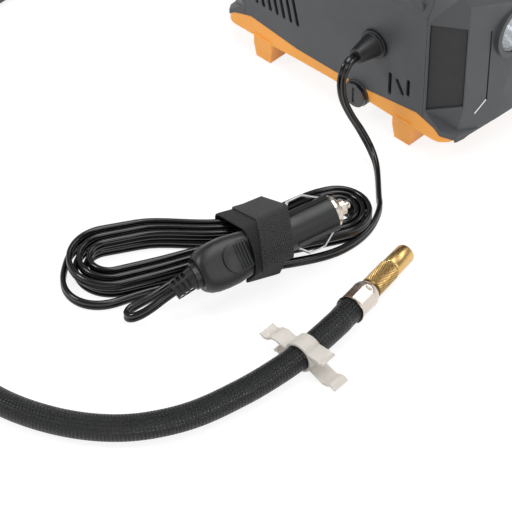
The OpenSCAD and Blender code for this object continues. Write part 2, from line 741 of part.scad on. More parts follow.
module case_screws() {
    color(steel) at_each([for (s = screw_at) [s[0], half_w - 0.6, s[1]]]) difference() {
        union() {
            translate([0, -1.8, 0]) rod_y(3, 1.8);
            translate([0, -half_w - 10, 0]) rod_y(1.5, half_w + 9);
        }
        translate([-0.4, -0.9, -2]) cube([0.8, 1.9, 4]);
        translate([-2, -0.9, -0.4]) cube([4, 1.9, 0.8]);
    }
}

// ---- swept tubes ----
function unit(v) = v/norm(v);
// Points of a smooth curve through a route, n steps to each stretch
function spline_at(p, i, f) = let (k = len(p) - 1, a = p[max(i - 1, 0)], b = p[i], c = p[i + 1], d = p[min(i + 2, k)])
    0.5*(2*b + (c - a)*f + (2*a - 5*b + 4*c - d)*f*f + (3*b - a - 3*c + d)*f*f*f);
function spline(p, n) = concat([for (i = [0 : len(p) - 2], j = [0 : n - 1]) spline_at(p, i, j/n)], [p[len(p) - 1]]);
function heading(p, i) = unit(p[min(i + 1, len(p) - 1)] - p[max(i - 1, 0)]);
// Sweeps a closed outline along points; wide gives the outline's own upward direction at each one
module sweep(points, outline, wide) {
    n = len(outline);
    m = len(points);
    function ring(i) = let (t = heading(points, i), s = unit(cross(t, wide[i])), w = cross(s, t))
        [for (q = outline) points[i] + q[0]*s + q[1]*w];
    verts = [for (i = [0 : m - 1]) each ring(i)];
    caps = [for (j = [1 : n - 2]) each [[0, j + 1, j], [(m - 1)*n, (m - 1)*n + j, (m - 1)*n + j + 1]]];
    skin = [for (i = [0 : m - 2], j = [0 : n - 1]) let (a = i*n + j, b = i*n + (j + 1) % n)
        each [[a, b + n, a + n], [a, b, b + n]]];
    polyhedron(verts, concat(caps, skin), convexity = 10);
}
twin_outline = [[lead_t/2, -lead_w/4], [lead_t/2, lead_w/4], [0, lead_w/2], [-lead_t/2, lead_w/4],
    [-lead_t/2, -lead_w/4], [0, -lead_w/2]];
function round_outline(r, n) = [for (i = [0 : n - 1]) r*[cos(360*i/n), sin(360*i/n)]];
function ease(x) = x <= 0 ? 0 : x >= 1 ? 1 : x*x*(3 - 2*x);

// ---- power lead ----

// The hank lies in its own frame: u along it, v across it, seen from above
hank_at = [15, -225.6, 0];
hank_turn = 60;
lobe_u = -4;
lobe_v = 2.6;
tip_u = 120;
tip_v = 4;
lobe_r = 25.8;
lobe_step = 5.3;
tip_r = 18.3;
tip_step = 3.5;
turns = 6.14;
hank_start = 0.12;
run_share = 0.2;
rings_per_turn = 24;
layer_z = lead_w + 0.6;
climb_share = 0.14;
first_reach = 6;
reach_at = 0.28;
reach_half = 0.11;
strap_u = 67;
strap_reach = 52;
waist = 13.6;
waist_lift = 1.9;
function squeeze(u) = let (d = abs(u - strap_u)/strap_reach) d >= 1 ? 0 : (1 - d*d)*(1 - d*d);
function coil_index(t) = min(t, turns - t);
function lobe_share(u) = (tip_u - u)/(tip_u - lobe_u);
// Middle line of the loops, and half distance between the two runs of loop s, at the place u
function run_mid(u) = let (k = lobe_share(u)) tip_v*(1 - k) + lobe_v*k;
function run_half(u, s) = let (k = lobe_share(u)) (tip_r - tip_step*s)*(1 - k) + (lobe_r - lobe_step*s)*k;
// The first loop reaches out at one place of its left lobe
function reach(t) = let (d = (t - reach_at)/reach_half) abs(d) < 1 ? first_reach*pow(cos(90*d), 2) : 0;
// One loop: near run, left lobe, far run drawn in at the waist, right lobe
function hank_uv(t) = let (f = t - floor(t), s = coil_index(t), b = 0.5 - run_share)
    f < run_share ? let (u = tip_u + (lobe_u - tip_u)*f/run_share) [u, run_mid(u) - run_half(u, s) - reach(t)] :
    f < 0.5 ? let (a = -90 - 180*(f - run_share)/b, r = lobe_r - lobe_step*s + reach(t))
        [lobe_u + r*cos(a), lobe_v + r*sin(a)] :
    f < 0.5 + run_share ? let (u = lobe_u + (tip_u - lobe_u)*(f - 0.5)/run_share)
        [u, run_mid(u) + run_half(u, s) - waist*squeeze(u)] :
    let (a = 90 - 180*(f - 0.5 - run_share)/b, r = tip_r - tip_step*s) [tip_u + r*cos(a), tip_v + r*sin(a)];
function from_hank(q) = [hank_at[0] + q[0]*cos(hank_turn) - q[1]*sin(hank_turn),
    hank_at[1] + q[0]*sin(hank_turn) + q[1]*cos(hank_turn), q[2]];
function hank_z(t, u) = lead_w/2 + layer_z*ease((t - turns/2)/climb_share + 0.5) + waist_lift*squeeze(u);
function hank_point(t) = let (q = hank_uv(t)) from_hank([q[0], q[1], hank_z(t, q[0])]);
ring_count = round((turns - hank_start)*rings_per_turn);
hank_points = [for (i = [0 : ring_count]) hank_point(hank_start + (turns - hank_start)*i/ring_count)];
// Least gap of the wound lead to itself, flat width against flat height
function flat_gap(a, b) = let (h = norm([a[0] - b[0], a[1] - b[1]]), z = abs(a[2] - b[2]))
    norm([max(0, h - lead_t), max(0, z - lead_w)]);
hank_gaps = [for (i = [0 : ring_count - 18], j = [i + 18 : ring_count]) flat_gap(hank_points[i], hank_points[j])];
echo(least_gap_of_the_hank = min(hank_gaps));
module cord_hank() { color(black) sweep(hank_points, twin_outline, [for (p = hank_points) [0, 0, 1]]); }

// Free stretch from the gland, in the air, down and along the surface to the hank
tail_along = [[147.5, 15], [145.6, 8], [141.8, 1], [136.4, -6], [129.5, -12], [121.5, -16.6], [113, -19.8], [104, -21.6],
    [94, -22.4], [82, -22.6], [70, -22.2], [58, -21.2]];
tail_route = [[31, -61.5, 58], [31, -67, 57], [31, -71, 52.5], [31.2, -72.6, 45], [33, -72.6, 36],
    [37.2, -71.2, 27], [43.2, -69.2, 18], [51.5, -69.8, 9.5], [61, -75.5, 5.4],
    each [for (q = tail_along) from_hank([q[0], q[1], lead_w/2 + 0.2 + waist_lift*squeeze(q[0])])], hank_points[0]];
tail_points = spline(tail_route, 2);
module cord_tail() {
    k = len(tail_points) - 1;
    color(black) sweep(tail_points, twin_outline,
        [for (i = [0 : k]) let (m = ease((i/k - 0.2)/0.22)) (1 - m)*[1, 0, 0] + m*[0, 0, 1]]);
}
// Free stretch from the hank, folded back to the plug, in the hank's frame
plug_end = [18.6, -36.7, 18.3];
plug_turn = hank_turn + 12.8;
plug_pitch = 6.2;
relief_l = 15;
flange_l = 3;
relief_droop = 15.8;
// The relief hangs down from the flange where it meets the plug
relief_pivot = relief_l - flange_l/2;
function on_relief_axis(x) = let (p = plug_pitch + relief_droop)
    on_plug_axis(relief_pivot) + (x - relief_pivot)*[cos(plug_turn)*cos(p), sin(plug_turn)*cos(p), sin(p)];
function on_plug_axis(x) = from_hank(plug_end) + x*[cos(plug_turn)*cos(plug_pitch), sin(plug_turn)*cos(plug_pitch), sin(plug_pitch)];
lead_route = concat([hank_points[ring_count]], [for (q = [[27, -22.8, 9.8], [20.5, -25.6, 9.4], [14, -28.2, 8.4], [7.5, -30, 7],
    [1.6, -31.1, 5.6], [-2.6, -32.2, 4.6], [-5.2, -34.5, 4.2], [-5.5, -37.7, 4.8], [-3, -40.2, 6.2], [1.8, -40.8, 8], [8, -39.6, 10.2]]) from_hank(q)],
    [on_relief_axis(-6), on_relief_axis(0)]);
lead_points = spline(lead_route, 2);
module cord_lead() { color(black) sweep(lead_points, twin_outline, [for (p = lead_points) [0, 0, 1]]); }

// ---- 12 V plug, along its own X from the lead's end ----
plug_roll = 45;
head_l = 34;
head_r = 13;
head_t = 19.2;
shoulder_r = 10;
collar_l = 8;
pin_out = 3.5;
barrel_x = relief_l + head_l;
barrel_end = barrel_x + barrel_l;
module on_plug() {
    translate(from_hank(plug_end)) rotate([0, 0, plug_turn]) rotate([0, -plug_pitch, 0]) rotate([plug_roll, 0, 0]) children();
}
module plug_relief() {
    color(black) on_plug() {
        translate([relief_l - flange_l, 0, 0]) rod_x(6.9, flange_l);
        translate([relief_pivot, 0, 0]) rotate([-plug_roll, 0, 0]) rotate([0, -relief_droop, 0]) rotate([plug_roll, 0, 0])
            translate([-relief_pivot, 0, 0]) difference() {
                rod_x(5, relief_pivot, 5.8);
                for (x = [2.4, 5.4, 8.4], a = [0, 60, 120]) translate([x, 0, 0]) rotate([a, 0, 0]) {
                    translate([-0.9, -2.2, 3.6]) cube([1.8, 4.4, 4]);
                    translate([-0.9, -2.2, -7.6]) cube([1.8, 4.4, 4]);
                }
            }
    }
}
pad_x = relief_l + 12.5;
pad_l = 20;
pad_w = 15.4;
pad_r = 11.8;
rib_pitch = 1.7;
module plug_head() {
    color(black) on_plug() {
        translate([relief_l, 0, 0]) intersection() {
            hull() {
                rod_x(shoulder_r, 1.2, $fn = 32);
                translate([7, 0, 0]) rod_x(head_r - 0.4, 1, $fn = 32);
                translate([11, 0, 0]) rod_x(head_r, 7, $fn = 32);
                translate([25, 0, 0]) rod_x(12, 1, $fn = 32);
                translate([head_l - 1, 0, 0]) rod_x(barrel_r + 0.5, 1, $fn = 32);
            }
            translate([-1, -20, -head_t/2]) cube([head_l + 2, 40, head_t]);
        }
        // finger pads with grip ribs
        intersection() {
            for (s = [0, 180]) rotate([s, 0, 0]) translate([pad_x, -pad_w/2, head_t/2 - 0.6]) {
                cube([pad_l, pad_w, 1.2]);
                for (i = [0 : 4]) translate([8.4 + rib_pitch*i, 0, 1]) cube([rib_pitch/2, pad_w, 0.7]);
            }
            translate([pad_x, 0, 0]) rod_x(pad_r, pad_l);
        }
    }
}
slot_w = 5;
contact_w = 4;
contact_x = barrel_x + 20;
contact_l = 23;
module plug_barrel() {
    color([0.12, 0.12, 0.125]) on_plug() difference() {
        union() {
            translate([barrel_x, 0, 0]) rod_x(barrel_r, barrel_l);
            for (a = [52, -52, 128, -128]) rotate([a, 0, 0]) translate([barrel_x + 20, -1.3, barrel_r - 0.6])
                cube([barrel_l - 21, 2.6, 1.3]);
        }
        translate([barrel_x + 2, 0, 0]) rod_x(barrel_r - 1.8, barrel_l);
        for (s = [-1, 1]) translate([contact_x - 0.6, s > 0 ? 0 : -20, -slot_w/2]) cube([contact_l + 1.2, 20, slot_w]);
    }
}
collar_hole = 2.6;
module plug_collar() {
    color(nickel) on_plug() translate([barrel_end, 0, 0]) difference() {
        union() {
            rod_x(8.2, 2.6);
            translate([2.6, 0, 0]) rod_x(7.4, 2.4, 4.4);
            translate([5, 0, 0]) rod_x(4.4, collar_l - 5);
        }
        translate([-1, 0, 0]) rod_x(collar_hole, collar_l + 2);
    }
}
pin_travel = 2.5;
module plug_pin() {
    color(nickel) on_plug() translate([barrel_end, 0, 0]) {
        translate([-9, 0, 0]) rod_x(2.2, 9 + collar_l + pin_out - 1);
        translate([collar_l + pin_out - 1, 0, 0]) rod_x(2.2, 1, 1.4);
        translate([-9, 0, 0]) rod_x(3.4, 3);
    }
}
module plug_spring() {
    coils = 7;
    start = barrel_end - 27;
    span = 17;
    points = [for (i = [0 : coils*12]) let (a = 30*i) [start + span*i/(coils*12), 3*cos(a), 3*sin(a)]];
    color(steel) on_plug() sweep(points, round_outline(0.45, 6), [for (p = points) unit([0, p[1], p[2]])]);
}
module contact_strip() {
    y = barrel_r;
    strip = [[0, y - 4.2], [0.8, y - 4.2], [1.6, y - 0.6], [6, y + 3.9], [14, y + 3.9], [21, y - 0.8], [22.2, y - 4.2],
        [23, y - 4.2], [22, y - 0.2], [14.4, y + 4.6], [5.6, y + 4.6], [0.8, y - 0.2]];
    translate([contact_x, 0, -contact_w/2]) linear_extrude(contact_w) polygon(strip);
}
module plug_contact_far() { color(steel) on_plug() contact_strip(); }
module plug_contact_near() { color(steel) on_plug() mirror([0, 1, 0]) contact_strip(); }

// ---- strap round the hank and the plug ----
strap_skew = 6;
strap_low = -9;
strap_shift = 6.5;
strap_sway = 3;
// Round corners of the strap's inside: across, height and radius. The first is round the plug
strap_corners = [[-25.4, 23.9, 12.4], [-22.2, 8.2, 6.8], [14.2, 2.7, 1.4], [9.6, 9.8, 6.6]];
strap_lean = 0.16;
plug_drift = tan(plug_turn - hank_turn - strap_skew);
plug_rise = tan(plug_pitch);
strap_stations = 60;
// Number of the corner that the strap goes round where its outward direction is n
function strap_corner(n) = let (s = [for (c = strap_corners) c[0]*n[0] + c[1]*n[1] + c[2]], m = max(s))
    [for (i = [0 : 3]) if (s[i] == m) i][0];
// Point of the strap at x along it, d outside its inner face, in outward direction a
function strap_point(x, d, a) = let (n = [cos(a), sin(a)], i = strap_corner(n), c = strap_corners[i], k = i == 0 ? x : 0,
    lean = i < 2 ? 0 : strap_lean*max(0, x - 6))
    [x, c[0] + lean + k*plug_drift + (c[2] + d)*n[0], c[1] + k*plug_rise + (c[2] + d)*n[1]];
// Outside of the upper ply, which runs out on the underside
function strap_outside(a) = strap_t + 0.1 + (strap_t - 0.1)*ease((sin(a) + 0.7)/0.5);
module cord_strap() {
    low = strap_low;
    verts = [for (i = [0 : strap_stations - 1]) let (a = 360*i/strap_stations, top = strap_outside(a),
        high = low + strap_shift + strap_sway*cos(a))
        each [strap_point(low, 0, a), strap_point(high + strap_w, 0, a), strap_point(high + strap_w, top, a),
        strap_point(high, top, a), strap_point(high, strap_t, a), strap_point(low, strap_t, a)]];
    count = len(verts);
    faces = [for (i = [0 : strap_stations - 1], j = [0 : 5])
        let (a = i*6 + j, b = i*6 + (j + 1) % 6, c = (a + 6) % count, d = (b + 6) % count) each [[a, d, b], [a, c, d]]];
    color(black) translate(from_hank([strap_u, 0, 0])) rotate([0, 0, hank_turn + strap_skew])
        polyhedron(verts, faces, convexity = 6);
}

// ---- air hose ----
chuck_at = [127, -171, 9.3];
chuck_turn = 100.5;
chuck_pitch = -3.9;
chuck_dir = [cos(chuck_turn)*cos(chuck_pitch), sin(chuck_turn)*cos(chuck_pitch), sin(chuck_pitch)];
hose_seat = 4.4;
hose_route = [[-112, 0, 27], [-120, 0, 27], [-133, -1.6, 24], [-147, -9, 16], [-162, -18, 9], [-182, -38, hose_r], [-197, -66, hose_r],
    [-204, -100, hose_r], [-202, -140, hose_r], [-190, -182, hose_r], [-166, -226, hose_r], [-132, -264, hose_r],
    [-92, -296, hose_r], [-48, -320, hose_r], [0, -334, hose_r], [30, -336.5, hose_r], [52, -333.5, hose_r],
    [75, -324.6, hose_r], [94, -312, hose_r], [108, -296.5, hose_r], [119, -275.5, hose_r],
    [125.6, -250, hose_r + 0.3], [129, -228, 7.8], [130.2, -208, 8.6], chuck_at - 14*chuck_dir, chuck_at - 6*chuck_dir, chuck_at + (hose_seat - 0.1)*chuck_dir];
hose_points = spline(hose_route, 2);
module hose_tube() {
    color(black) sweep(hose_points, round_outline(hose_r, 10), [for (p = hose_points) [0, 0, 1]]);
}
module on_chuck() {
    translate(chuck_at) rotate([0, 0, chuck_turn]) rotate([0, -chuck_pitch, 0]) children();
}
module hose_ferrule() {
    color(nickel) on_chuck() difference() {
        intersection() {
            rod_x(hose_r + 1.3, ferrule_l, hose_r);
            // eight crimped flats
            rotate([22.5, 0, 0]) rotate([90, 0, 90]) linear_extrude(ferrule_l + 1) circle(hose_r + 1.45, $fn = 8);
        }
        translate([-1, 0, 0]) rod_x(hose_r + 0.1, hose_seat + 1);
        translate([-1, 0, 0]) rod_x(2.6, ferrule_l + 2);
    }
}
module chuck_stem() {
    color(brass) on_chuck() difference() {
        union() {
            translate([hose_seat, 0, 0]) rod_x(2.6, ferrule_l + 2.5 - hose_seat);
            translate([ferrule_l + 2.5, 0, 0]) rod_x(4, 2);
            translate([ferrule_l + 4.5, 0, 0]) rod_x(2.2, 12);
        }
        rod_x(1.1, 40);
    }
}
sleeve_x = ferrule_l + 0.4;
knurl_r = 6.1;
tip_out_r = 5.5;
module chuck_sleeve() {
    open = sleeve_x + knurl_l + tip_l;
    color(brass) on_chuck() difference() {
        union() {
            translate([sleeve_x, 0, 0]) rod_x(knurl_r, knurl_l);
            translate([sleeve_x + knurl_l, 0, 0]) rod_x(tip_out_r, tip_l);
        }
        translate([sleeve_x - 1, 0, 0]) rod_x(2.6 + run_gap, 4);
        translate([ferrule_l + 2.3, 0, 0]) rod_x(4.05, 3);
        translate([ferrule_l + 5.3, 0, 0]) rod_x(3.2, open);
        translate([open - 14, 0, 0]) rod_x(valve_r, 15);
    }
}
clip_at = [130.2, -208.7, 8.6];
clip_turn = 92;
clip_bore = hose_r + 0.25;
// Outline of one long and one short arm, as a bent strip
function strip(path, t) = let (k = len(path) - 1, side = [for (i = [0 : k])
    let (d = path[min(i + 1, k)] - path[max(i - 1, 0)]) [-d[1], d[0]]/norm(d)])
    concat([for (i = [0 : k]) path[i] + side[i]*t/2], [for (i = [k : -1 : 0]) path[i] - side[i]*t/2]);
long_arm = [[7, -3.4], [8.8, -4], [12, -5.3], [17, -7.3], [18.9, -7], [20.6, -5.8], [22.4, -5.9], [24.6, -7.3]];
short_arm = [[5.4, 5.4], [9.1, 5.4], [12.4, 5.2], [14, 4.4], [15.8, 5.4]];
far_arm = [[-7.4, 1.4], [-11, 1.2], [-15, 2.4], [-18, 1.8], [-20.6, -0.4], [-22.6, -1], [-25.4, 0.3]];
module clip_arm(path, turn = 0) { rotate(turn) linear_extrude(clip_w) polygon(strip(path, clip_t)); }
module hose_clip() {
    color(milky) translate(clip_at) rotate([0, 0, clip_turn]) rotate([90, 0, -90])
        translate([0, 0, -clip_w/2]) difference() {
            union() {
                cylinder(r = clip_bore + clip_t, h = clip_w);
                clip_arm(long_arm);
                clip_arm(far_arm);
                clip_arm(short_arm);
                clip_arm(short_arm, 180);
            }
            translate([0, 0, -1]) cylinder(r = clip_bore, h = clip_w + 2);
        }
}

base_tray();
foot_pads();
shell_left();
shell_right();
front_cap();
rear_cap();
corner_pads();
trim_bars();
handle_arch();
handle_grip();
display_bezel();
display_window();
display_board();
button_power();
button_mode();
button_plus();
button_minus();
switch_frame();
rocker_switch();
lamp_reflector();
lamp_lens();
cord_gland();
fuse_holder();
fuse_cap();
hose_gland();
motor_can();
motor_saddle();
motor_end_cap();
armature_shaft();
drive_pinion();
cooling_fan();
gear_frame();
crank_bearing();
crank_gear();
crank_pin();
con_rod();
piston();
piston_seal();
cylinder_body();  // cylinder
cylinder_head();
reed_valve();
air_line();
case_screws();
cord_tail();
cord_hank();
cord_lead();
plug_relief();
plug_head();
plug_barrel();
plug_collar();
plug_pin();
plug_spring();
plug_contact_near();
plug_contact_far();
cord_strap();
hose_tube();
hose_ferrule();
chuck_stem();
chuck_sleeve();
hose_clip();
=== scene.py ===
import bpy
import bmesh
import json
from math import sin, cos, tan, radians, degrees, pi, atan2, hypot, sqrt, floor
from mathutils import Vector, Matrix


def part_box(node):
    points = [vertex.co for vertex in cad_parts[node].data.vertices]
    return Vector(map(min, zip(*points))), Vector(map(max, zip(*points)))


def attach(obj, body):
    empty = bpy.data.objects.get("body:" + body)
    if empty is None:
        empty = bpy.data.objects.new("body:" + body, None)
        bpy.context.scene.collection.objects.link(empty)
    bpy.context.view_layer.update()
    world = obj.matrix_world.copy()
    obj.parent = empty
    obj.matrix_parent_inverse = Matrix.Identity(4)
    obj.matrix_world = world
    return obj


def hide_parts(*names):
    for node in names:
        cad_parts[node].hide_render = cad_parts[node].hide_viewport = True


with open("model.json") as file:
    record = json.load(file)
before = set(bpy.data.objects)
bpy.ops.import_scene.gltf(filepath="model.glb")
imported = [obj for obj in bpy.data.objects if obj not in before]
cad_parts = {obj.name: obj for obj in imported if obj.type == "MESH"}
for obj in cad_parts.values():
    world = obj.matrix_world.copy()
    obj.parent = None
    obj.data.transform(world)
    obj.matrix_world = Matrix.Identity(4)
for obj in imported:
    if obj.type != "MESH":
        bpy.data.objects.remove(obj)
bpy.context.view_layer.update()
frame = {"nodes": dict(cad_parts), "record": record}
nodes = frame["nodes"]
bodyOf = {node: body for body, members in frame["record"]["behaviour"]["bodies"].items() for node in members}
slotOf = {part["node"]: part["material_slot"] for part in frame["record"]["subparts"]}
mm = 0.001  # sizes below are in millimetres and become metres where a mesh is made


# camera

view = {"azimuth": 43.5, "elevation": 43.0, "distance": 1.347, "target": (0.05757, -0.16724, 0.0),
        "lens": 180.0}


def makeCamera():
    az, el = radians(view["azimuth"]), radians(view["elevation"])
    away = Vector((sin(az) * cos(el), -cos(az) * cos(el), sin(el)))
    data = bpy.data.cameras.new("camera")
    data.lens = view["lens"]
    data.sensor_width = 36.0
    data.clip_end = 20.0
    camera = bpy.data.objects.new("camera", data)
    bpy.context.scene.collection.objects.link(camera)
    camera.location = Vector(view["target"]) + away * view["distance"]
    camera.rotation_euler = (-away).to_track_quat("-Z", "Y").to_euler()
    bpy.context.scene.camera = camera
    print("camera ready")


# colour and material helpers

# linear colour of a written sRGB colour such as 47494B
def tint(code):
    parts = [int(code[i:i + 2], 16) / 255 for i in (0, 2, 4)]
    return tuple(p / 12.92 if p <= 0.04045 else ((p + 0.055) / 1.055) ** 2.4 for p in parts) + (1.0,)


# a material under construction: its nodes, its links and its main shader
class Shade:

    def __init__(self, name, color, rough, metal=0.0):
        self.material = bpy.data.materials.new(name)
        self.material.use_nodes = True
        self.tree = self.material.node_tree
        self.main = self.tree.nodes["Principled BSDF"]
        self.color = tint(color)
        self.main.inputs["Base Color"].default_value = self.color
        self.main.inputs["Roughness"].default_value = rough
        self.main.inputs["Metallic"].default_value = metal
        self.coords = self.node("ShaderNodeTexCoord")
        self.place = self.coords.outputs["Object"]
        self.bumped = None

    def node(self, kind, **settings):
        made = self.tree.nodes.new(kind)
        for key, value in settings.items():
            setattr(made, key, value)
        return made

    def link(self, a, b):
        self.tree.links.new(a, b)

    def noise(self, scale, detail=2.0, rough=0.5, place=None):
        made = self.node("ShaderNodeTexNoise")
        made.inputs["Scale"].default_value = scale
        made.inputs["Detail"].default_value = detail
        made.inputs["Roughness"].default_value = rough
        self.link(place or self.place, made.inputs["Vector"])
        return made.outputs["Fac"]

    def math(self, operation, a, b=0.0, c=None):
        made = self.node("ShaderNodeMath", operation=operation)
        for value, socket in zip((a, b, c), made.inputs):
            if value is None:
                continue
            if isinstance(value, (int, float)):
                socket.default_value = value
            else:
                self.link(value, socket)
        return made.outputs[0]

    def spread(self, value, low, high, start=0.3, end=0.7):
        made = self.node("ShaderNodeMapRange")
        for key, number in (("From Min", start), ("From Max", end), ("To Min", low), ("To Max", high)):
            made.inputs[key].default_value = number
        self.link(value, made.inputs["Value"])
        return made.outputs["Result"]

    def mix(self, fac, a, b):
        made = self.node("ShaderNodeMix", data_type="RGBA")
        self.link(fac, made.inputs["Factor"])
        for value, socket in ((a, made.inputs[6]), (b, made.inputs[7])):
            if isinstance(value, tuple):
                socket.default_value = value
            else:
                self.link(value, socket)
        return made.outputs[2]

    # base colour between two tones of itself, by a value from 0 to 1
    def paint(self, value, low, high):
        a = tuple(c * low for c in self.color[:3]) + (1.0,)
        b = tuple(min(1.0, c * high) for c in self.color[:3]) + (1.0,)
        self.link(self.mix(value, a, b), self.main.inputs["Base Color"])

    def bump(self, height, depth, strength=1.0):
        made = self.node("ShaderNodeBump")
        made.inputs["Strength"].default_value = strength
        made.inputs["Distance"].default_value = depth * mm
        self.link(height, made.inputs["Height"])
        if self.bumped:
            self.link(self.bumped, made.inputs["Normal"])
        self.bumped = made.outputs["Normal"]
        self.link(self.bumped, self.main.inputs["Normal"])

    def gloss(self, value, low, high):
        self.link(self.spread(value, low, high), self.main.inputs["Roughness"])


# finishes

finish = {
    "shell": {"color": "45474A", "rough": 0.46},
    "tray": {"color": "FBAA45", "rough": 0.42},
    "padPlate": {"color": "1C1C1E", "rough": 0.62},
    "gloss": {"color": "151517", "rough": 0.27},
    "satin": {"color": "141517", "rough": 0.4},
    "lead": {"color": "0C0C0E", "rough": 0.19},
    "nickel": {"color": "DCD2C8", "rough": 0.27},
    "brass": {"color": "DDB878", "rough": 0.3},
    "clip": {"color": "E2DCD4", "rough": 0.3},
}


# injection-moulded plastic: fine spark grain, faint flow mottling, uneven gloss
def mouldedPlastic(name, color, rough, grain=0.35, pitch=0.5, mottle=0.07, coat=0.0):
    s = Shade(name, color, rough)
    flow = s.noise(38.0, 3.0)
    s.paint(s.spread(flow, 0.0, 1.0), 1 - mottle, 1 + mottle)
    s.gloss(s.noise(120.0, 4.0, 0.6), rough - 0.05, rough + 0.05)
    s.bump(s.noise(1000.0 / pitch, 2.0, 0.6), 0.03 * grain / 0.35, grain)
    if coat:
        s.main.inputs["Coat Weight"].default_value = coat
        s.main.inputs["Coat Roughness"].default_value = 0.12
    return s.material


def softRubber(name, color="141416", rough=0.72):
    s = Shade(name, color, rough)
    dust = s.noise(90.0, 5.0, 0.65)
    s.paint(s.spread(dust, 0.0, 1.0), 0.85, 1.5)
    s.bump(s.noise(1500.0, 2.0), 0.04, 0.5)
    s.main.inputs["Sheen Weight"].default_value = 0.12
    return s.material


# plated or machined metal: soft smears in its gloss and faint tool marks
def platedMetal(name, color, rough, wear=0.06, grain=0.12):
    s = Shade(name, color, rough, 1.0)
    smear = s.noise(70.0, 4.0, 0.6)
    s.gloss(smear, max(0.04, rough - wear), rough + wear)
    s.paint(s.spread(s.noise(25.0, 2.0), 0.0, 1.0), 0.93, 1.05)
    s.bump(s.noise(2600.0, 3.0, 0.7), 0.012, grain)
    return s.material


# brass of the grip: painted shade darkens the valleys of its knurl and a painted highlight lightens its ridges
def knurledBrass():
    s = Shade("knurledBrass", finish["brass"]["color"], finish["brass"]["rough"] + 0.05, 1.0)
    ridge = s.node("ShaderNodeAttribute", attribute_name="ridge").outputs["Fac"]
    # the ridge attribute paints the valleys dark as painted shade and the ridges light as painted highlight, with
    # a little random tone
    valleyShadeAndTone = s.math("ADD", ridge, s.spread(s.noise(300.0, 3.0), -0.15, 0.15))
    s.paint(s.spread(valleyShadeAndTone, 0.0, 1.0, 0.05, 0.75), 0.22, 1.15)
    s.gloss(s.noise(200.0, 3.0), 0.24, 0.36)
    return s.material


def castMetal(name, color="9DA0A3", rough=0.42):
    s = Shade(name, color, rough, 1.0)
    s.paint(s.spread(s.noise(60.0, 4.0, 0.6), 0.0, 1.0), 0.85, 1.08)
    s.bump(s.noise(700.0, 4.0, 0.7), 0.08, 0.4)
    return s.material


# extruded vinyl: long faint draw lines along the lead, and a satin gloss
def leadVinyl():
    s = Shade("leadVinyl", finish["lead"]["color"], finish["lead"]["rough"])
    stretch = s.node("ShaderNodeMapping")
    stretch.inputs["Scale"].default_value = (26.0, 1.2, 1.0)
    s.link(s.coords.outputs["UV"], stretch.inputs["Vector"])
    lines = s.noise(6.0, 3.0, 0.6, stretch.outputs["Vector"])
    s.bump(lines, 0.03, 0.35)
    s.gloss(s.noise(55.0, 3.0), finish["lead"]["rough"] - 0.04, finish["lead"]["rough"] + 0.05)
    s.paint(s.spread(s.noise(45.0, 4.0), 0.0, 1.0), 0.8, 1.35)
    return s.material


# braid of flat yarn bundles that pass over and under each other, from the tube's UV map
def braidedHose(around, along):
    s = Shade("hoseBraid", "0C0E10", 0.4)
    parts = s.node("ShaderNodeSeparateXYZ")
    s.link(s.coords.outputs["UV"], parts.inputs["Vector"])
    u = s.math("MULTIPLY", parts.outputs["X"], float(around))
    v = s.math("MULTIPLY", parts.outputs["Y"], float(along))
    a = s.math("ADD", u, v)
    b = s.math("SUBTRACT", u, v)
    fa = s.math("FRACT", a)
    fb = s.math("FRACT", b)
    # which family of yarns lies on top in this crossing
    over = s.math("MODULO", s.math("ADD", s.math("FLOOR", a), s.math("FLOOR", b)), 2.0)
    over = s.math("GREATER_THAN", s.math("ABSOLUTE", over), 0.5)
    ridgeA = s.math("SINE", s.math("MULTIPLY", fa, pi))
    ridgeB = s.math("SINE", s.math("MULTIPLY", fb, pi))
    one = s.math("SUBTRACT", 1.0, over)
    height = s.math("ADD", s.math("MULTIPLY", over, ridgeA), s.math("MULTIPLY", one, ridgeB))
    # single filaments inside each bundle
    threadA = s.math("SINE", s.math("MULTIPLY", fa, pi * 10))
    threadB = s.math("SINE", s.math("MULTIPLY", fb, pi * 10))
    thread = s.math("ADD", s.math("MULTIPLY", over, threadA), s.math("MULTIPLY", one, threadB))
    height = s.math("ADD", height, s.math("MULTIPLY", thread, 0.07))
    s.bump(height, 0.7, 1.0)
    # painted shade in the dips between yarn bundles and painted highlight on their crowns, with a random tone
    shade = s.math("MULTIPLY", height, s.spread(s.noise(260.0, 3.0), 0.6, 1.15))
    s.paint(shade, 0.2, 1.6)
    s.gloss(s.noise(300.0, 2.0), 0.3, 0.44)
    s.main.inputs["Sheen Weight"].default_value = 0.03
    s.main.inputs["Sheen Roughness"].default_value = 0.4
    s.main.inputs["Sheen Tint"].default_value = tint("9AA69C")
    return s.material


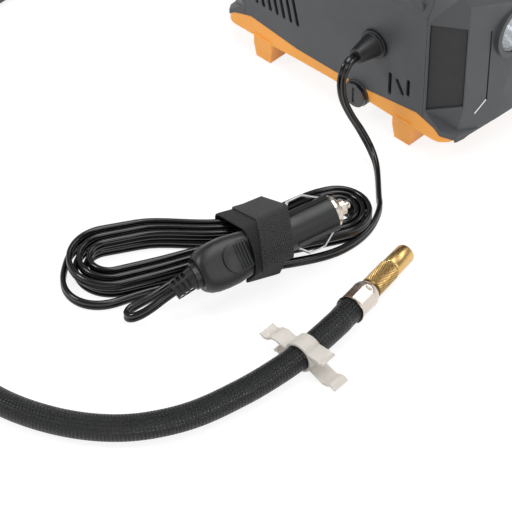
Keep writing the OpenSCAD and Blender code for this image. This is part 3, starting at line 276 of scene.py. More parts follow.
# hook side of the strap: rows of stiff hooks on a ribbed ground, from the strap's UV map in
# millimetres
def hookWeave():
    s = Shade("strapHooks", "232425", 0.7)
    parts = s.node("ShaderNodeSeparateXYZ")
    s.link(s.coords.outputs["UV"], parts.inputs["Vector"])
    jitter = s.math("MULTIPLY", s.math("SUBTRACT", s.noise(420.0, 2.0), 0.5), 0.9)
    u = s.math("ADD", s.math("MULTIPLY", parts.outputs["X"], 1.0 / 1.15), jitter)
    v = s.math("ADD", s.math("MULTIPLY", parts.outputs["Y"], 1.0 / 0.95), jitter)
    row = s.math("MULTIPLY", s.math("MODULO", s.math("FLOOR", v), 2.0), 0.5)
    du = s.math("SUBTRACT", s.math("FRACT", s.math("ADD", u, row)), 0.5)
    dv = s.math("SUBTRACT", s.math("FRACT", v), 0.5)
    away = s.math("SQRT", s.math("ADD", s.math("MULTIPLY", du, du), s.math("MULTIPLY", dv, dv)))
    hook = s.spread(away, 1.0, 0.0, 0.12, 0.46)
    rib = s.math("SINE", s.math("MULTIPLY", parts.outputs["Y"], 2 * pi / 0.48))
    height = s.math("ADD", hook, s.math("MULTIPLY", rib, 0.12))
    s.bump(height, 0.9, 1.0)
    s.bump(s.noise(3200.0, 3.0, 0.7), 0.1, 0.6)
    # hook heads painted light as painted highlight and the ground between them dark as painted shade, with a
    # random tone
    s.paint(s.math("MULTIPLY", hook, s.spread(s.noise(900.0, 2.0), 0.4, 1.2)), 0.3, 4.2)
    s.main.inputs["Sheen Weight"].default_value = 0.05
    s.main.inputs["Sheen Roughness"].default_value = 0.5
    return s.material


# loop side of the strap: a dark, fuzzy pile
def loopPile():
    s = Shade("strapLoops", "0B0B0C", 0.95)
    fuzz = s.noise(1500.0, 6.0, 0.75)
    s.bump(fuzz, 0.6, 1.0)
    s.paint(s.spread(fuzz, 0.0, 1.0), 0.3, 1.8)
    s.main.inputs["Sheen Weight"].default_value = 0.03
    s.main.inputs["Sheen Roughness"].default_value = 0.7
    return s.material


def milkyPlastic():
    s = Shade("milkyClip", finish["clip"]["color"], finish["clip"]["rough"])
    s.main.inputs["Transmission Weight"].default_value = 0.3
    s.main.inputs["IOR"].default_value = 1.45
    s.main.inputs["Subsurface Weight"].default_value = 0.25
    s.main.inputs["Subsurface Radius"].default_value = (0.004, 0.004, 0.0035)
    s.main.inputs["Subsurface Scale"].default_value = 1.0
    s.paint(s.spread(s.noise(90.0, 3.0), 0.0, 1.0), 0.94, 1.04)
    s.bump(s.noise(600.0, 3.0), 0.05, 0.25)
    return s.material


def clearGlass(name, color, rough, through):
    s = Shade(name, color, rough)
    s.main.inputs["Transmission Weight"].default_value = through
    s.main.inputs["Coat Weight"].default_value = 0.4
    s.bump(s.noise(300.0, 2.0), 0.01, 0.1)
    return s.material


def circuitGreen():
    s = Shade("circuitBoard", "1E5C36", 0.4)
    s.paint(s.spread(s.noise(400.0, 2.0), 0.0, 1.0, 0.45, 0.55), 0.8, 1.25)
    s.bump(s.noise(900.0, 2.0), 0.03, 0.3)
    return s.material


def makeMaterials():
    f = finish
    made = {
        "shell_plastic": mouldedPlastic("shellPlastic", f["shell"]["color"], f["shell"]["rough"], 0.4, 0.45),
        "base_plastic": mouldedPlastic("trayPlastic", f["tray"]["color"], f["tray"]["rough"],
                                       0.25, 0.55, 0.04),
        "soft_rubber": softRubber("softRubber"),
        "pad_plate": softRubber("padPlate", f["padPlate"]["color"], f["padPlate"]["rough"]),
        "black_plastic": mouldedPlastic("satinBlack", f["satin"]["color"], f["satin"]["rough"],
                                        0.3, 0.4, 0.12),
        "gloss_black": mouldedPlastic("glossBlack", f["gloss"]["color"], f["gloss"]["rough"],
                                      0.1, 0.8, 0.1, 0.35),
        "silver_trim": platedMetal("silverTrim", "D6D6D8", 0.24),
        "display_glass": clearGlass("displayGlass", "3E4644", 0.06, 0.55),
        "lamp_glass": clearGlass("lampGlass", "EDF3F8", 0.05, 0.92),
        "circuit_board": circuitGreen(),
        "button_red": mouldedPlastic("signalRed", "B3281C", 0.35, 0.2, 0.6),
        "button_grey": mouldedPlastic("keyGrey", "BFC1C5", 0.38, 0.2, 0.6),
        "steel": platedMetal("brightSteel", "BBBCBE", 0.3),
        "cast_alloy": castMetal("castAlloy"),
        "brass": platedMetal("turnedBrass", f["brass"]["color"], f["brass"]["rough"], 0.07, 0.2),
        "knurled_brass": knurledBrass(),
        "nylon": mouldedPlastic("nylonWhite", "E6E3D8", 0.5),
        "hose_rubber": softRubber("lineRubber", "1E1E20", 0.5),
        "lead_vinyl": leadVinyl(),
        "nickel": platedMetal("nickelPlate", f["nickel"]["color"], f["nickel"]["rough"]),
        "strap_fabric": hookWeave(),
        "strap_loops": loopPile(),
        "clip_plastic": milkyPlastic(),
    }
    print("materials ready:", len(made))
    return made


# mesh helpers

def addPiece(name, bm, materials, body="root", smooth=35.0):
    mesh = bpy.data.meshes.new(name)
    bm.to_mesh(mesh)
    bm.free()
    piece = bpy.data.objects.new(name, mesh)
    bpy.context.scene.collection.objects.link(piece)
    for material in materials:
        mesh.materials.append(material)
    mesh.shade_smooth()
    mesh.set_sharp_from_angle(angle=radians(smooth))
    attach(piece, body)
    return piece


# matrix of a piece made along its own X, in metres
def placed(origin, turn=0.0, pitch=0.0, roll=0.0):
    spin = Matrix.Rotation(radians(turn), 4, "Z") @ Matrix.Rotation(radians(-pitch), 4, "Y")
    return Matrix.Translation(Vector(origin) * mm) @ spin @ Matrix.Rotation(radians(roll), 4, "X")


# spins an outline of (along, radius) points round the X axis
def turned(bm, outline, steps=64):
    verts = [bm.verts.new((x * mm, 0.0, r * mm)) for x, r in outline]
    edges = [bm.edges.new((verts[i], verts[i + 1])) for i in range(len(verts) - 1)]
    bmesh.ops.spin(bm, geom=verts + edges, cent=(0, 0, 0), axis=(1, 0, 0), angle=2 * pi, steps=steps,
                   use_merge=True)
    bmesh.ops.remove_doubles(bm, verts=bm.verts, dist=1e-6)
    bmesh.ops.recalc_face_normals(bm, faces=bm.faces)


# tube of quads along a path in metres, with caps and a UV map: u round it, v along it in millimetres
def sweep(bm, path, outline, ups):
    layer = bm.loops.layers.uv.verify()
    rings = []
    count = len(outline)
    length = [0.0]
    for i, p in enumerate(path):
        ahead = path[min(i + 1, len(path) - 1)] - path[max(i - 1, 0)]
        t = ahead.normalized()
        side = t.cross(ups[i]).normalized()
        up = side.cross(t)
        rings.append([bm.verts.new(p + side * q[0] * mm + up * q[1] * mm) for q in outline])
        if i:
            length.append(length[-1] + (p - path[i - 1]).length / mm)
    for i in range(len(path) - 1):
        for j in range(count):
            k = (j + 1) % count
            face = bm.faces.new((rings[i][j], rings[i][k], rings[i + 1][k], rings[i + 1][j]))
            corners = ((j, i), (j + 1, i), (j + 1, i + 1), (j, i + 1))
            for loop, (a, b) in zip(face.loops, corners):
                loop[layer].uv = (a / count, length[b])
    bm.faces.new(rings[0][::-1])
    bm.faces.new(rings[-1])
    bmesh.ops.recalc_face_normals(bm, faces=bm.faces)
    return length[-1]


# smooth curve through points, in as many steps for each stretch
def spline(points, steps):
    out = []
    last = len(points) - 1
    for i in range(last):
        a, b, c, d = (Vector(points[max(0, min(k, last))]) for k in (i - 1, i, i + 1, i + 2))
        for j in range(steps):
            f = j / steps
            out.append(0.5 * (2 * b + (c - a) * f + (2 * a - 5 * b + 4 * c - d) * f * f
                              + (3 * b - a - 3 * c + d) * f * f * f))
    return out + [Vector(points[-1])]


def ease(x):
    return 0.0 if x <= 0 else 1.0 if x >= 1 else x * x * (3 - 2 * x)


def pathLength(path):
    return sum((b - a).length for a, b in zip(path, path[1:]))


# power lead: gland, free stretch, hank and plug, all one lead

lead = {
    "width": 5.8, "thick": 3.0, "web": 0.75,
    "clear": 0.2,  # how far its last stretch keeps off what lies below it
    # from the gland down to the ground, then on in the hank's frame
    "tail": [(31, -61.5, 58), (31, -67, 57), (31, -71, 52.5), (31.2, -72.6, 45), (33, -72.6, 36),
             (37.2, -71.2, 27), (43.2, -69.2, 18), (51.5, -69.8, 9.5), (61, -75.5, 5.4)],
    "along": [(147.5, 15), (145.6, 8), (141.8, 1), (136.4, -6), (129.5, -12), (121.5, -16.6), (113, -19.8),
              (104, -21.6), (94, -22.4), (82, -22.6), (70, -22.2), (58, -21.2)],
    "back": [(27, -22.8, 9.8), (20.5, -25.6, 9.4), (14, -28.2, 8.4), (7.5, -30, 7), (1.6, -31.1, 5.6),
             (-2.6, -32.2, 4.6), (-5.2, -34.5, 4.2), (-5.5, -37.7, 4.8), (-3, -40.2, 6.2),
             (1.8, -40.8, 8), (8, -39.6, 10.2)],
}
hank = {
    "at": (15, -225.6, 0), "turn": 60.0, "lobeU": -4.0, "lobeV": 2.6, "tipU": 120.0, "tipV": 4.0,
    "lobeR": 25.8, "lobeStep": 5.3, "tipR": 18.3, "tipStep": 3.5, "turns": 6.14, "start": 0.12,
    "runShare": 0.2, "climb": 0.14, "layer": 6.4, "reach": 6.0, "reachAt": 0.28, "reachHalf": 0.11,
    "strapU": 67.0, "strapReach": 52.0, "waist": 13.6, "waistLift": 1.9,
}
plug = {"end": (18.6, -36.7, 18.3), "skew": 12.8, "pitch": 6.2, "roll": 45.0, "relief": 15.0, "flange": 3.0,
        "droop": 15.8, "barrel": 45.0}
plug["turn"] = hank["turn"] + plug["skew"]


def fromHank(q):
    c, s = cos(radians(hank["turn"])), sin(radians(hank["turn"]))
    return Vector((hank["at"][0] + q[0] * c - q[1] * s, hank["at"][1] + q[0] * s + q[1] * c, q[2]))


def squeeze(u):
    d = abs(u - hank["strapU"]) / hank["strapReach"]
    return 0.0 if d >= 1 else (1 - d * d) ** 2


# place on the wound lead after t turns: near run, left lobe, far run, right lobe
def hankPoint(t):
    h = hank
    f = t - floor(t)
    s = min(t, h["turns"] - t)
    b = 0.5 - h["runShare"]
    d = (t - h["reachAt"]) / h["reachHalf"]
    out = h["reach"] * cos(pi / 2 * d) ** 2 if abs(d) < 1 else 0.0
    small, large = h["tipR"] - h["tipStep"] * s, h["lobeR"] - h["lobeStep"] * s

    def across(u, side):
        k = (h["tipU"] - u) / (h["tipU"] - h["lobeU"])
        return h["tipV"] * (1 - k) + h["lobeV"] * k + side * (small * (1 - k) + large * k)

    if f < h["runShare"]:
        u = h["tipU"] + (h["lobeU"] - h["tipU"]) * f / h["runShare"]
        v = across(u, -1) - out
    elif f < 0.5:
        a = radians(-90 - 180 * (f - h["runShare"]) / b)
        u, v = h["lobeU"] + (large + out) * cos(a), h["lobeV"] + (large + out) * sin(a)
    elif f < 0.5 + h["runShare"]:
        u = h["lobeU"] + (h["tipU"] - h["lobeU"]) * (f - 0.5) / h["runShare"]
        v = across(u, 1) - h["waist"] * squeeze(u)
    else:
        a = radians(90 - 180 * (f - 0.5 - h["runShare"]) / b)
        u, v = h["tipU"] + small * cos(a), h["tipV"] + small * sin(a)
    z = lead["width"] / 2 + h["layer"] * ease((t - h["turns"] / 2) / h["climb"] + 0.5)
    return fromHank((u, v, z + h["waistLift"] * squeeze(u)))


def onPlugAxis(x):
    t, p = radians(plug["turn"]), radians(plug["pitch"])
    return fromHank(plug["end"]) + x * Vector((cos(t) * cos(p), sin(t) * cos(p), sin(p)))


# the relief hangs down from its flange
def onReliefAxis(x):
    pivot = plug["relief"] - plug["flange"] / 2
    t, p = radians(plug["turn"]), radians(plug["pitch"] + plug["droop"])
    return onPlugAxis(pivot) + (x - pivot) * Vector((cos(t) * cos(p), sin(t) * cos(p), sin(p)))


# two round cores side by side and the web between them
def twinOutline():
    r = lead["thick"] / 2
    c = lead["width"] / 2 - r
    notch = degrees(atan2(-sqrt(r * r - lead["web"] ** 2), lead["web"]))
    angles = [notch + (180 - 2 * notch) * i / 9 for i in range(10)]
    top = [(r * cos(radians(a)), c + r * sin(radians(a))) for a in angles]
    return top + [(-x, -y) for x, y in top]


def makeLead():
    rings = 120
    count = round((hank["turns"] - hank["start"]) * rings)
    wound = [hankPoint(hank["start"] + (hank["turns"] - hank["start"]) * i / count) for i in range(count + 1)]
    clear = lead["width"] / 2 + lead["clear"]
    low = [fromHank((u, v, clear + hank["waistLift"] * squeeze(u))) for u, v in lead["along"]]
    # the free stretches leave the hank in its own direction
    tail = spline([Vector(p) for p in lead["tail"]] + low + [wound[0], wound[4]], 7)[:-7]
    back = [fromHank(q) for q in lead["back"]] + [onReliefAxis(-6), onReliefAxis(0)]
    back = spline([wound[-5], wound[-1]] + back, 7)[7:]
    k = len(tail) - 1
    ups = []
    for i in range(k):
        m = ease((i / k - 0.2) / 0.22)
        ups.append(Vector((1 - m, 0, m)))
    path = tail[:-1] + wound[:-1] + back
    ups += [Vector((0, 0, 1))] * (len(path) - len(ups))
    path = [p * mm for p in path]
    bm = bmesh.new()
    sweep(bm, path, twinOutline(), ups)
    piece = addPiece("powerLead", bm, [look["lead_vinyl"]], "root", 60)
    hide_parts("cord_tail", "cord_hank", "cord_lead")
    total = pathLength(path)
    print("power lead", round(total, 3), "m")
    return piece, path, total


# air hose

hose = {
    "radius": 6.8, "chuckAt": (127, -171, 9.3), "chuckTurn": 100.5, "chuckPitch": -3.9, "seat": 4.4,
    "route": [(-112, 0, 27), (-120, 0, 27), (-133, -1.6, 24), (-147, -9, 16), (-162, -18, 9), (-182, -38, 6.8),
              (-197, -66, 6.8), (-204, -100, 6.8), (-202, -140, 6.8), (-190, -182, 6.8), (-166, -226, 6.8),
              (-132, -264, 6.8), (-92, -296, 6.8), (-48, -320, 6.8), (0, -334, 6.8), (30, -336.5, 6.8),
              (52, -333.5, 6.8), (75, -324.6, 6.8), (94, -312, 6.8), (108, -296.5, 6.8), (119, -275.5, 6.8),
              (125.6, -250, 7.1), (129, -228, 7.8), (130.2, -208, 8.6)],
    "sides": 48,
}


def onChuckAxis(x):
    t, p = radians(hose["chuckTurn"]), radians(hose["chuckPitch"])
    return Vector(hose["chuckAt"]) + x * Vector((cos(t) * cos(p), sin(t) * cos(p), sin(p)))


def makeHose():
    points = [Vector(p) for p in hose["route"]] + [onChuckAxis(x) for x in (-14, -6, hose["seat"] - 0.1)]
    path = [p * mm for p in spline(points, 14)]
    n = hose["sides"]
    outline = [(hose["radius"] * cos(2 * pi * i / n), hose["radius"] * sin(2 * pi * i / n)) for i in range(n)]
    bm = bmesh.new()
    sweep(bm, path, outline, [Vector((0, 0, 1))] * len(path))
    piece = addPiece("airHose", bm, [braidedHose(24, 0.55)], "root", 60)
    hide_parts("hose_tube")
    total = pathLength(path)
    print("air hose", round(total, 3), "m")
    return piece, path, total


# pieces made from the CAD solids, with the moulded edges that the real ones have

rounding = {
    "base_tray": (0.7, 3), "shell_left": (0.45, 2), "shell_right": (0.45, 2), "front_cap": (0.5, 3),
    "rear_cap": (0.5, 3), "corner_pads": (0.4, 2), "trim_bars": (0.12, 2), "handle_arch": (2.6, 4),
    "display_bezel": (0.5, 3), "switch_frame": (0.4, 2), "rocker_switch": (0.5, 3), "fuse_holder": (0.3, 2),
    "fuse_cap": (0.4, 3), "cord_gland": (0.5, 3), "hose_gland": (0.6, 3), "foot_pads": (0.3, 2),
    "plug_relief": (0.35, 3), "plug_barrel": (0.4, 3), "plug_contact_near": (0.15, 2),
    "plug_contact_far": (0.15, 2), "hose_clip": (0.3, 3), "lamp_lens": (0.4, 3),
    "button_power": (0.3, 3), "button_mode": (0.3, 3), "button_plus": (0.3, 3), "button_minus": (0.3, 3),
}


# a copy of a CAD solid with its sharp edges rounded
def softened(node, material=None, least=28.0):
    width, segments = rounding[node]
    bm = bmesh.new()
    bm.from_mesh(nodes[node].data)
    bmesh.ops.remove_doubles(bm, verts=bm.verts, dist=2e-6)
    bmesh.ops.dissolve_limit(bm, angle_limit=radians(1.0), verts=bm.verts, edges=bm.edges)
    sharp = [e for e in bm.edges if len(e.link_faces) == 2 and e.calc_face_angle(0) > radians(least)]
    bmesh.ops.bevel(bm, geom=sharp, offset=width * mm, offset_type="OFFSET", segments=segments, profile=0.5,
                    affect="EDGES", clamp_overlap=True, material=-1)
    name = node.replace("_", " ").title().replace(" ", "")
    name = name[0].lower() + name[1:] + "Skin"
    piece = addPiece(name, bm, [material or look[slotOf[node]]], bodyOf[node], 40)
    even = piece.modifiers.new("even", "WEIGHTED_NORMAL")
    even.keep_sharp = True
    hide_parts(node)
    return piece


def makeHousing():
    made = {node: softened(node) for node in rounding if node not in ("fuse_cap", "rocker_switch")}
    made["fuse_cap"] = softened("fuse_cap", look["gloss_black"])
    made["rocker_switch"] = softened("rocker_switch")
    print("housing skins ready:", len(made))
    return made


# car plug

def plugPlace():
    return placed(fromHank(plug["end"]), plug["turn"], plug["pitch"], plug["roll"])


plugHead = {
    "start": 15.0, "length": 34.0,
    # along, half width across the pads, half width across the seam, squareness
    "sections": [(0.0, 8.6, 9.1, 2.2), (0.9, 9.3, 10.1, 2.3), (3.5, 9.6, 11.7, 2.6), (7.0, 9.7, 12.6, 3.0),
                 (12.0, 9.7, 13.0, 3.3), (18.0, 9.7, 13.0, 3.3), (25.0, 9.7, 12.0, 3.1), (29.5, 9.9, 11.3, 2.6),
                 (32.8, 10.4, 10.8, 2.1), (34.0, 10.1, 10.3, 2.0)],
    "padAt": 12.5, "padLength": 20.0, "padWidth": 15.4, "padRise": 1.3, "under": 12.3,
    "ridges": 5, "ridgeAt": 8.4, "ridgeStep": 1.7,
}


def ring(bm, x, a, b, power, count=48):
    made = bmesh.ops.create_circle(bm, cap_ends=False, radius=1.0, segments=count)["verts"]
    for vert in made:
        t = atan2(vert.co.y, vert.co.x)
        c, s = cos(t), sin(t)
        r = (abs(c) ** power + abs(s) ** power) ** (-1.0 / power)
        vert.co = Vector((x, b * r * c, a * r * s)) * mm
    return made


def ringEdges(verts):
    members = set(verts)
    near = {e for v in verts for e in v.link_edges}
    return [e for e in near if e.verts[0] in members and e.verts[1] in members]


def lofted(bm, rings):
    for a, b in zip(rings, rings[1:]):
        bmesh.ops.bridge_loops(bm, edges=ringEdges(a) + ringEdges(b))
    for end in (rings[0], rings[-1]):
        bmesh.ops.contextual_create(bm, geom=ringEdges(end))


# box between two corners in millimetres, its edges rounded
def slab(bm, low, high, bevel=0.0, segments=2):
    middle = [(a + b) / 2 * mm for a, b in zip(low, high)]
    size = [(b - a) * mm for a, b in zip(low, high)]
    verts = bmesh.ops.create_cube(bm, size=1.0)["verts"]
    bmesh.ops.scale(bm, vec=size, verts=verts)
    bmesh.ops.translate(bm, vec=middle, verts=verts)
    if bevel:
        edges = list({e for v in verts for e in v.link_edges})
        bmesh.ops.bevel(bm, geom=edges, offset=bevel * mm, offset_type="OFFSET", segments=segments, profile=0.5,
                        affect="EDGES", clamp_overlap=True, material=-1)


# raised pad with an arched end and five raised ridges across it
def fingerPad(bm, side):
    h = plugHead
    x0, w = h["start"] + h["padAt"], h["padWidth"] / 2
    x1 = x0 + h["padLength"]
    low, top = 8.6, 9.6 + h["padRise"]
    outline = [(x1, -w), (x1, w)]
    arc = [(x0 + 6.5 - 6.5 * sin(radians(180 * i / 16)), w * cos(radians(180 * i / 16))) for i in range(17)]
    outline += [(x, y) for x, y in arc]
    verts = [bm.verts.new((x * mm, y * mm, low * mm)) for x, y in outline]
    face = bm.faces.new(verts)
    grown = bmesh.ops.extrude_face_region(bm, geom=[face])
    moved = [v for v in grown["geom"] if isinstance(v, bmesh.types.BMVert)]
    bmesh.ops.translate(bm, vec=(0, 0, (top - low) * mm), verts=moved)
    rim = [e for e in {e for v in moved for e in v.link_edges} if e.verts[0] in moved and e.verts[1] in moved]
    bmesh.ops.bevel(bm, geom=rim, offset=0.35 * mm, offset_type="OFFSET", segments=2, profile=0.5,
                    affect="EDGES", clamp_overlap=True, material=-1)
    for i in range(h["ridges"]):
        x = x0 + h["ridgeAt"] + h["ridgeStep"] * i
        slab(bm, (x - 0.45, -w + 0.8, top - 0.1), (x + 0.45, w - 0.8, top + 0.45), 0.2)
    # towards the strap it sinks into the round that the strap lies on
    for vert in bm.verts:
        far = hypot(vert.co.y, vert.co.z) / mm
        most = h["under"] + 3.0 * (1 - ease((vert.co.x / mm - x0 - 11) / 5))
        if far > most:
            vert.co.y, vert.co.z = vert.co.y * most / far, vert.co.z * most / far
    if side < 0:
        part = list(bm.verts)
        bmesh.ops.rotate(bm, cent=(0, 0, 0), matrix=Matrix.Rotation(pi, 3, "X"), verts=part)


def makePlug():
    place = plugPlace()
    h = plugHead
    bm = bmesh.new()
    lofted(bm, [ring(bm, h["start"] + x, a, b, power) for x, a, b, power in h["sections"]])
    sharp = [e for e in bm.edges if e.calc_face_angle(0) > radians(50)]
    bmesh.ops.bevel(bm, geom=sharp, offset=0.4 * mm, offset_type="OFFSET", segments=2, profile=0.5,
                    affect="EDGES", clamp_overlap=True, material=-1)
    for side in (1, -1):
        pad = bmesh.new()
        fingerPad(pad, side)
        mesh = bpy.data.meshes.new("pad")
        pad.to_mesh(mesh)
        pad.free()
        bm.from_mesh(mesh)
        bpy.data.meshes.remove(mesh)
    bmesh.ops.recalc_face_normals(bm, faces=bm.faces)
    bm.transform(place)
    head = addPiece("plugGrip", bm, [look["black_plastic"]], "root", 38)
    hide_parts("plug_head")

    bm = bmesh.new()
    end = h["start"] + h["length"] + plug["barrel"]
    outline = [(end, 2.6), (end, 8.1), (end + 0.5, 8.6), (end + 1.9, 8.6), (end + 2.3, 8.2), (end + 2.6, 7.5)]
    outline += [(end + 2.6 + 2.6 * i / 8, 4.3 + 3.1 * cos(radians(90 * i / 8))) for i in range(1, 9)]
    outline += [(end + 7.6, 4.3), (end + 8.0, 3.9), (end + 8.0, 2.6), (end, 2.6)]
    turned(bm, outline, 64)
    bm.transform(place)
    collar = addPiece("plugRim", bm, [look["nickel"]], "root", 40)
    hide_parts("plug_collar")

    bm = bmesh.new()
    outline = [(end - 9, 0.0), (end - 9, 3.4), (end - 6, 3.4), (end - 6, 2.2), (end + 8.3, 2.2), (end + 8.6, 1.8),
               (end + 9.0, 1.8), (end + 9.3, 2.2), (end + 9.9, 2.2)]
    steps = [radians(90 * i / 6) for i in range(1, 7)]
    outline += [(end + 9.9 + 1.6 * sin(a), 2.2 * cos(a)) for a in steps]
    turned(bm, outline, 40)
    bm.transform(place)
    tip = addPiece("plugTip", bm, [look["nickel"]], bodyOf["plug_pin"], 40)
    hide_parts("plug_pin")
    print("plug ready")
    return [head, collar, tip]


# strap round the hank and the plug

strap = {
    "width": 18.0, "skew": 6.0, "step": 10.0, "back": 6.5, "ply": 1.15,
    "corners": [(-25.4, 23.9, 12.4), (-22.2, 8.2, 6.8), (14.2, 2.7, 1.4), (9.6, 9.8, 6.6)], "lean": 0.16,
    "from": -38.0, "to": 552.0, "by": 3.0, "across": 14,
    # the angle where it starts to step aside, come back and climb on itself, and the degrees each takes
    "stepAt": (232, 113), "backAt": (375, 150), "climbAt": (292, 28),
    "under": 0.06, "between": 0.04, "edge": 0.14,
}


# point of the strap at x along the hank, d outside what it binds, in outward direction angle
def strapPoint(x, d, angle):
    n = (cos(radians(angle)), sin(radians(angle)))
    c = max(strap["corners"], key=lambda q: q[0] * n[0] + q[1] * n[1] + q[2])
    k = x if c is strap["corners"][0] else 0.0
    lean = strap["lean"] * max(0.0, x - 6) if c in strap["corners"][2:] else 0.0
    drift = tan(radians(plug["skew"] - strap["skew"]))
    rise = tan(radians(plug["pitch"]))
    return Vector((x, c[0] + lean + k * drift + (c[2] + d) * n[0], c[1] + k * rise + (c[2] + d) * n[1]))


# ribbon that starts below the hank, goes round once, steps sideways and goes over itself
def makeStrap():
    s = strap
    turn = radians(hank["turn"] + s["skew"])
    place = Matrix.Translation(fromHank((hank["strapU"], 0, 0)) * mm) @ Matrix.Rotation(turn, 4, "Z")
    bm = bmesh.new()
    layer = bm.loops.layers.uv.verify()
    count = round((s["to"] - s["from"]) / s["by"])
    half = s["width"] / 2
    rings, along = [], [0.0]
    for i in range(count + 1):
        angle = s["from"] + s["by"] * i
        aside, home, climb = (ease((angle - s[k][0]) / s[k][1]) for k in ("stepAt", "backAt", "climbAt"))
        middle = s["step"] * aside - s["back"] * home
        base = s["under"] + (s["ply"] + s["between"]) * climb
        row = []
        for j in range(s["across"] + 1):
            x = middle - half + s["width"] * j / s["across"]
            edge = s["edge"] if j in (0, s["across"]) else 0.0
            inside = strapPoint(x, base + edge, angle % 360)
            row.append((inside, strapPoint(x, base + s["ply"] - edge, angle % 360), x))
        rings.append([(bm.verts.new(a * mm), bm.verts.new(b * mm), x) for a, b, x in row])
        if i:
            k = s["across"] // 2
            along.append(along[-1] + (rings[-1][k][1].co - rings[-2][k][1].co).length / mm)

    def quad(corners, places, index):
        face = bm.faces.new(corners)
        face.material_index = index
        for loop, uv in zip(face.loops, places):
            loop[layer].uv = uv

    for i in range(count):
        second = s["from"] + s["by"] * i > 325
        a, b = rings[i], rings[i + 1]
        u0, u1 = along[i], along[i + 1]
        for j in range(s["across"]):
            x0, x1 = a[j][2], a[j + 1][2]
            places = ((u0, x0), (u0, x1), (u1, x1), (u1, x0))
            quad((a[j][1], a[j + 1][1], b[j + 1][1], b[j][1]), places, 0 if second else 1)
            quad((a[j + 1][0], a[j][0], b[j][0], b[j + 1][0]), places, 1)
        for j in (0, s["across"]):
            places = ((u0, 0), (u0, 1), (u1, 1), (u1, 0))
            quad((a[j][0], a[j][1], b[j][1], b[j][0]), places, 0 if second else 1)
    for row in (rings[0], rings[-1]):
        for j in range(s["across"]):
            quad((row[j][0], row[j + 1][0], row[j + 1][1], row[j][1]), ((0, 0), (1, 0), (1, 1), (0, 1)), 1)
    bmesh.ops.recalc_face_normals(bm, faces=bm.faces)
    bm.transform(place)
    piece = addPiece("leadStrap", bm, [look["strap_fabric"], look["strap_loops"]], "root", 50)
    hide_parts("cord_strap")
    return piece


# chuck at the end of the hose

chuck = {"ferrule": 19.5, "flutes": 8, "knurlAt": 19.9, "knurl": 20.0, "knurlR": 6.1, "tip": 16.0, "tipR": 5.5,
         "valve": 3.85, "diamonds": 30, "pitch": 1.3}


def chuckPlace():
    return placed(hose["chuckAt"], hose["chuckTurn"], hose["chuckPitch"])


# crimped sleeve: a scalloped mouth, eight pressed flats and a domed front
def makeFerrule():
    sides = 96
    stations = [0.0, 0.15, 0.9, 1.8, 2.8, 4.0, 6.0, 8.0, 10.0, 12.0, 13.2, 14.0, 14.8, 15.6, 16.5, 17.4,
                18.3, 19.0, 19.5]
    bm = bmesh.new()
    rings = []
    for x in stations:
        made = bmesh.ops.create_circle(bm, cap_ends=False, radius=1.0, segments=sides)["verts"]
        for vert in made:
            t = atan2(vert.co.y, vert.co.x)
            wave = cos(chuck["flutes"] * t)
            pressed = ease((x + 0.4) / 1.6) * (1 - ease((x - 12.6) / 2.6))
            flare = 7.75 + 0.3 * (1 - ease(x / 3))
            fold = (t * chuck["flutes"] / (2 * pi)) % 1.0 - 0.5
            flat = min(7.85, (7.15 + 0.2 * (1 - ease(x / 4))) / cos(fold * 2 * pi / chuck["flutes"]))
            r = flare * (1 - pressed) + flat * pressed
            if x > 13.6:
                # the front closes in a dome
                r *= sqrt(1 - 0.5 * ((x - 13.6) / 5.9) ** 2)
            lip = 0.55 * (0.5 - 0.5 * wave) if x < 0.5 else 0.25 * (0.5 - 0.5 * wave) if x < 1.2 else 0.0
            vert.co = Vector((x + lip, r * cos(t), r * sin(t))) * mm
        rings.append(made)
    inside = []
    for x, r in ((19.5, 4.4), (19.3, 2.7), (4.4, 2.7), (4.4, 6.9), (0.9, 7.1)):
        made = bmesh.ops.create_circle(bm, cap_ends=False, radius=1.0, segments=sides)["verts"]
        for vert in made:
            t = atan2(vert.co.y, vert.co.x)
            vert.co = Vector((x, r * cos(t), r * sin(t))) * mm
        inside.append(made)
    loops = rings + inside
    for a, b in zip(loops, loops[1:] + loops[:1]):
        bmesh.ops.bridge_loops(bm, edges=ringEdges(a) + ringEdges(b))
    bmesh.ops.recalc_face_normals(bm, faces=bm.faces)
    bm.transform(chuckPlace())
    piece = addPiece("crimpedFerrule", bm, [look["nickel"]], bodyOf["hose_ferrule"], 34)
    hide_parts("hose_ferrule")
    return piece


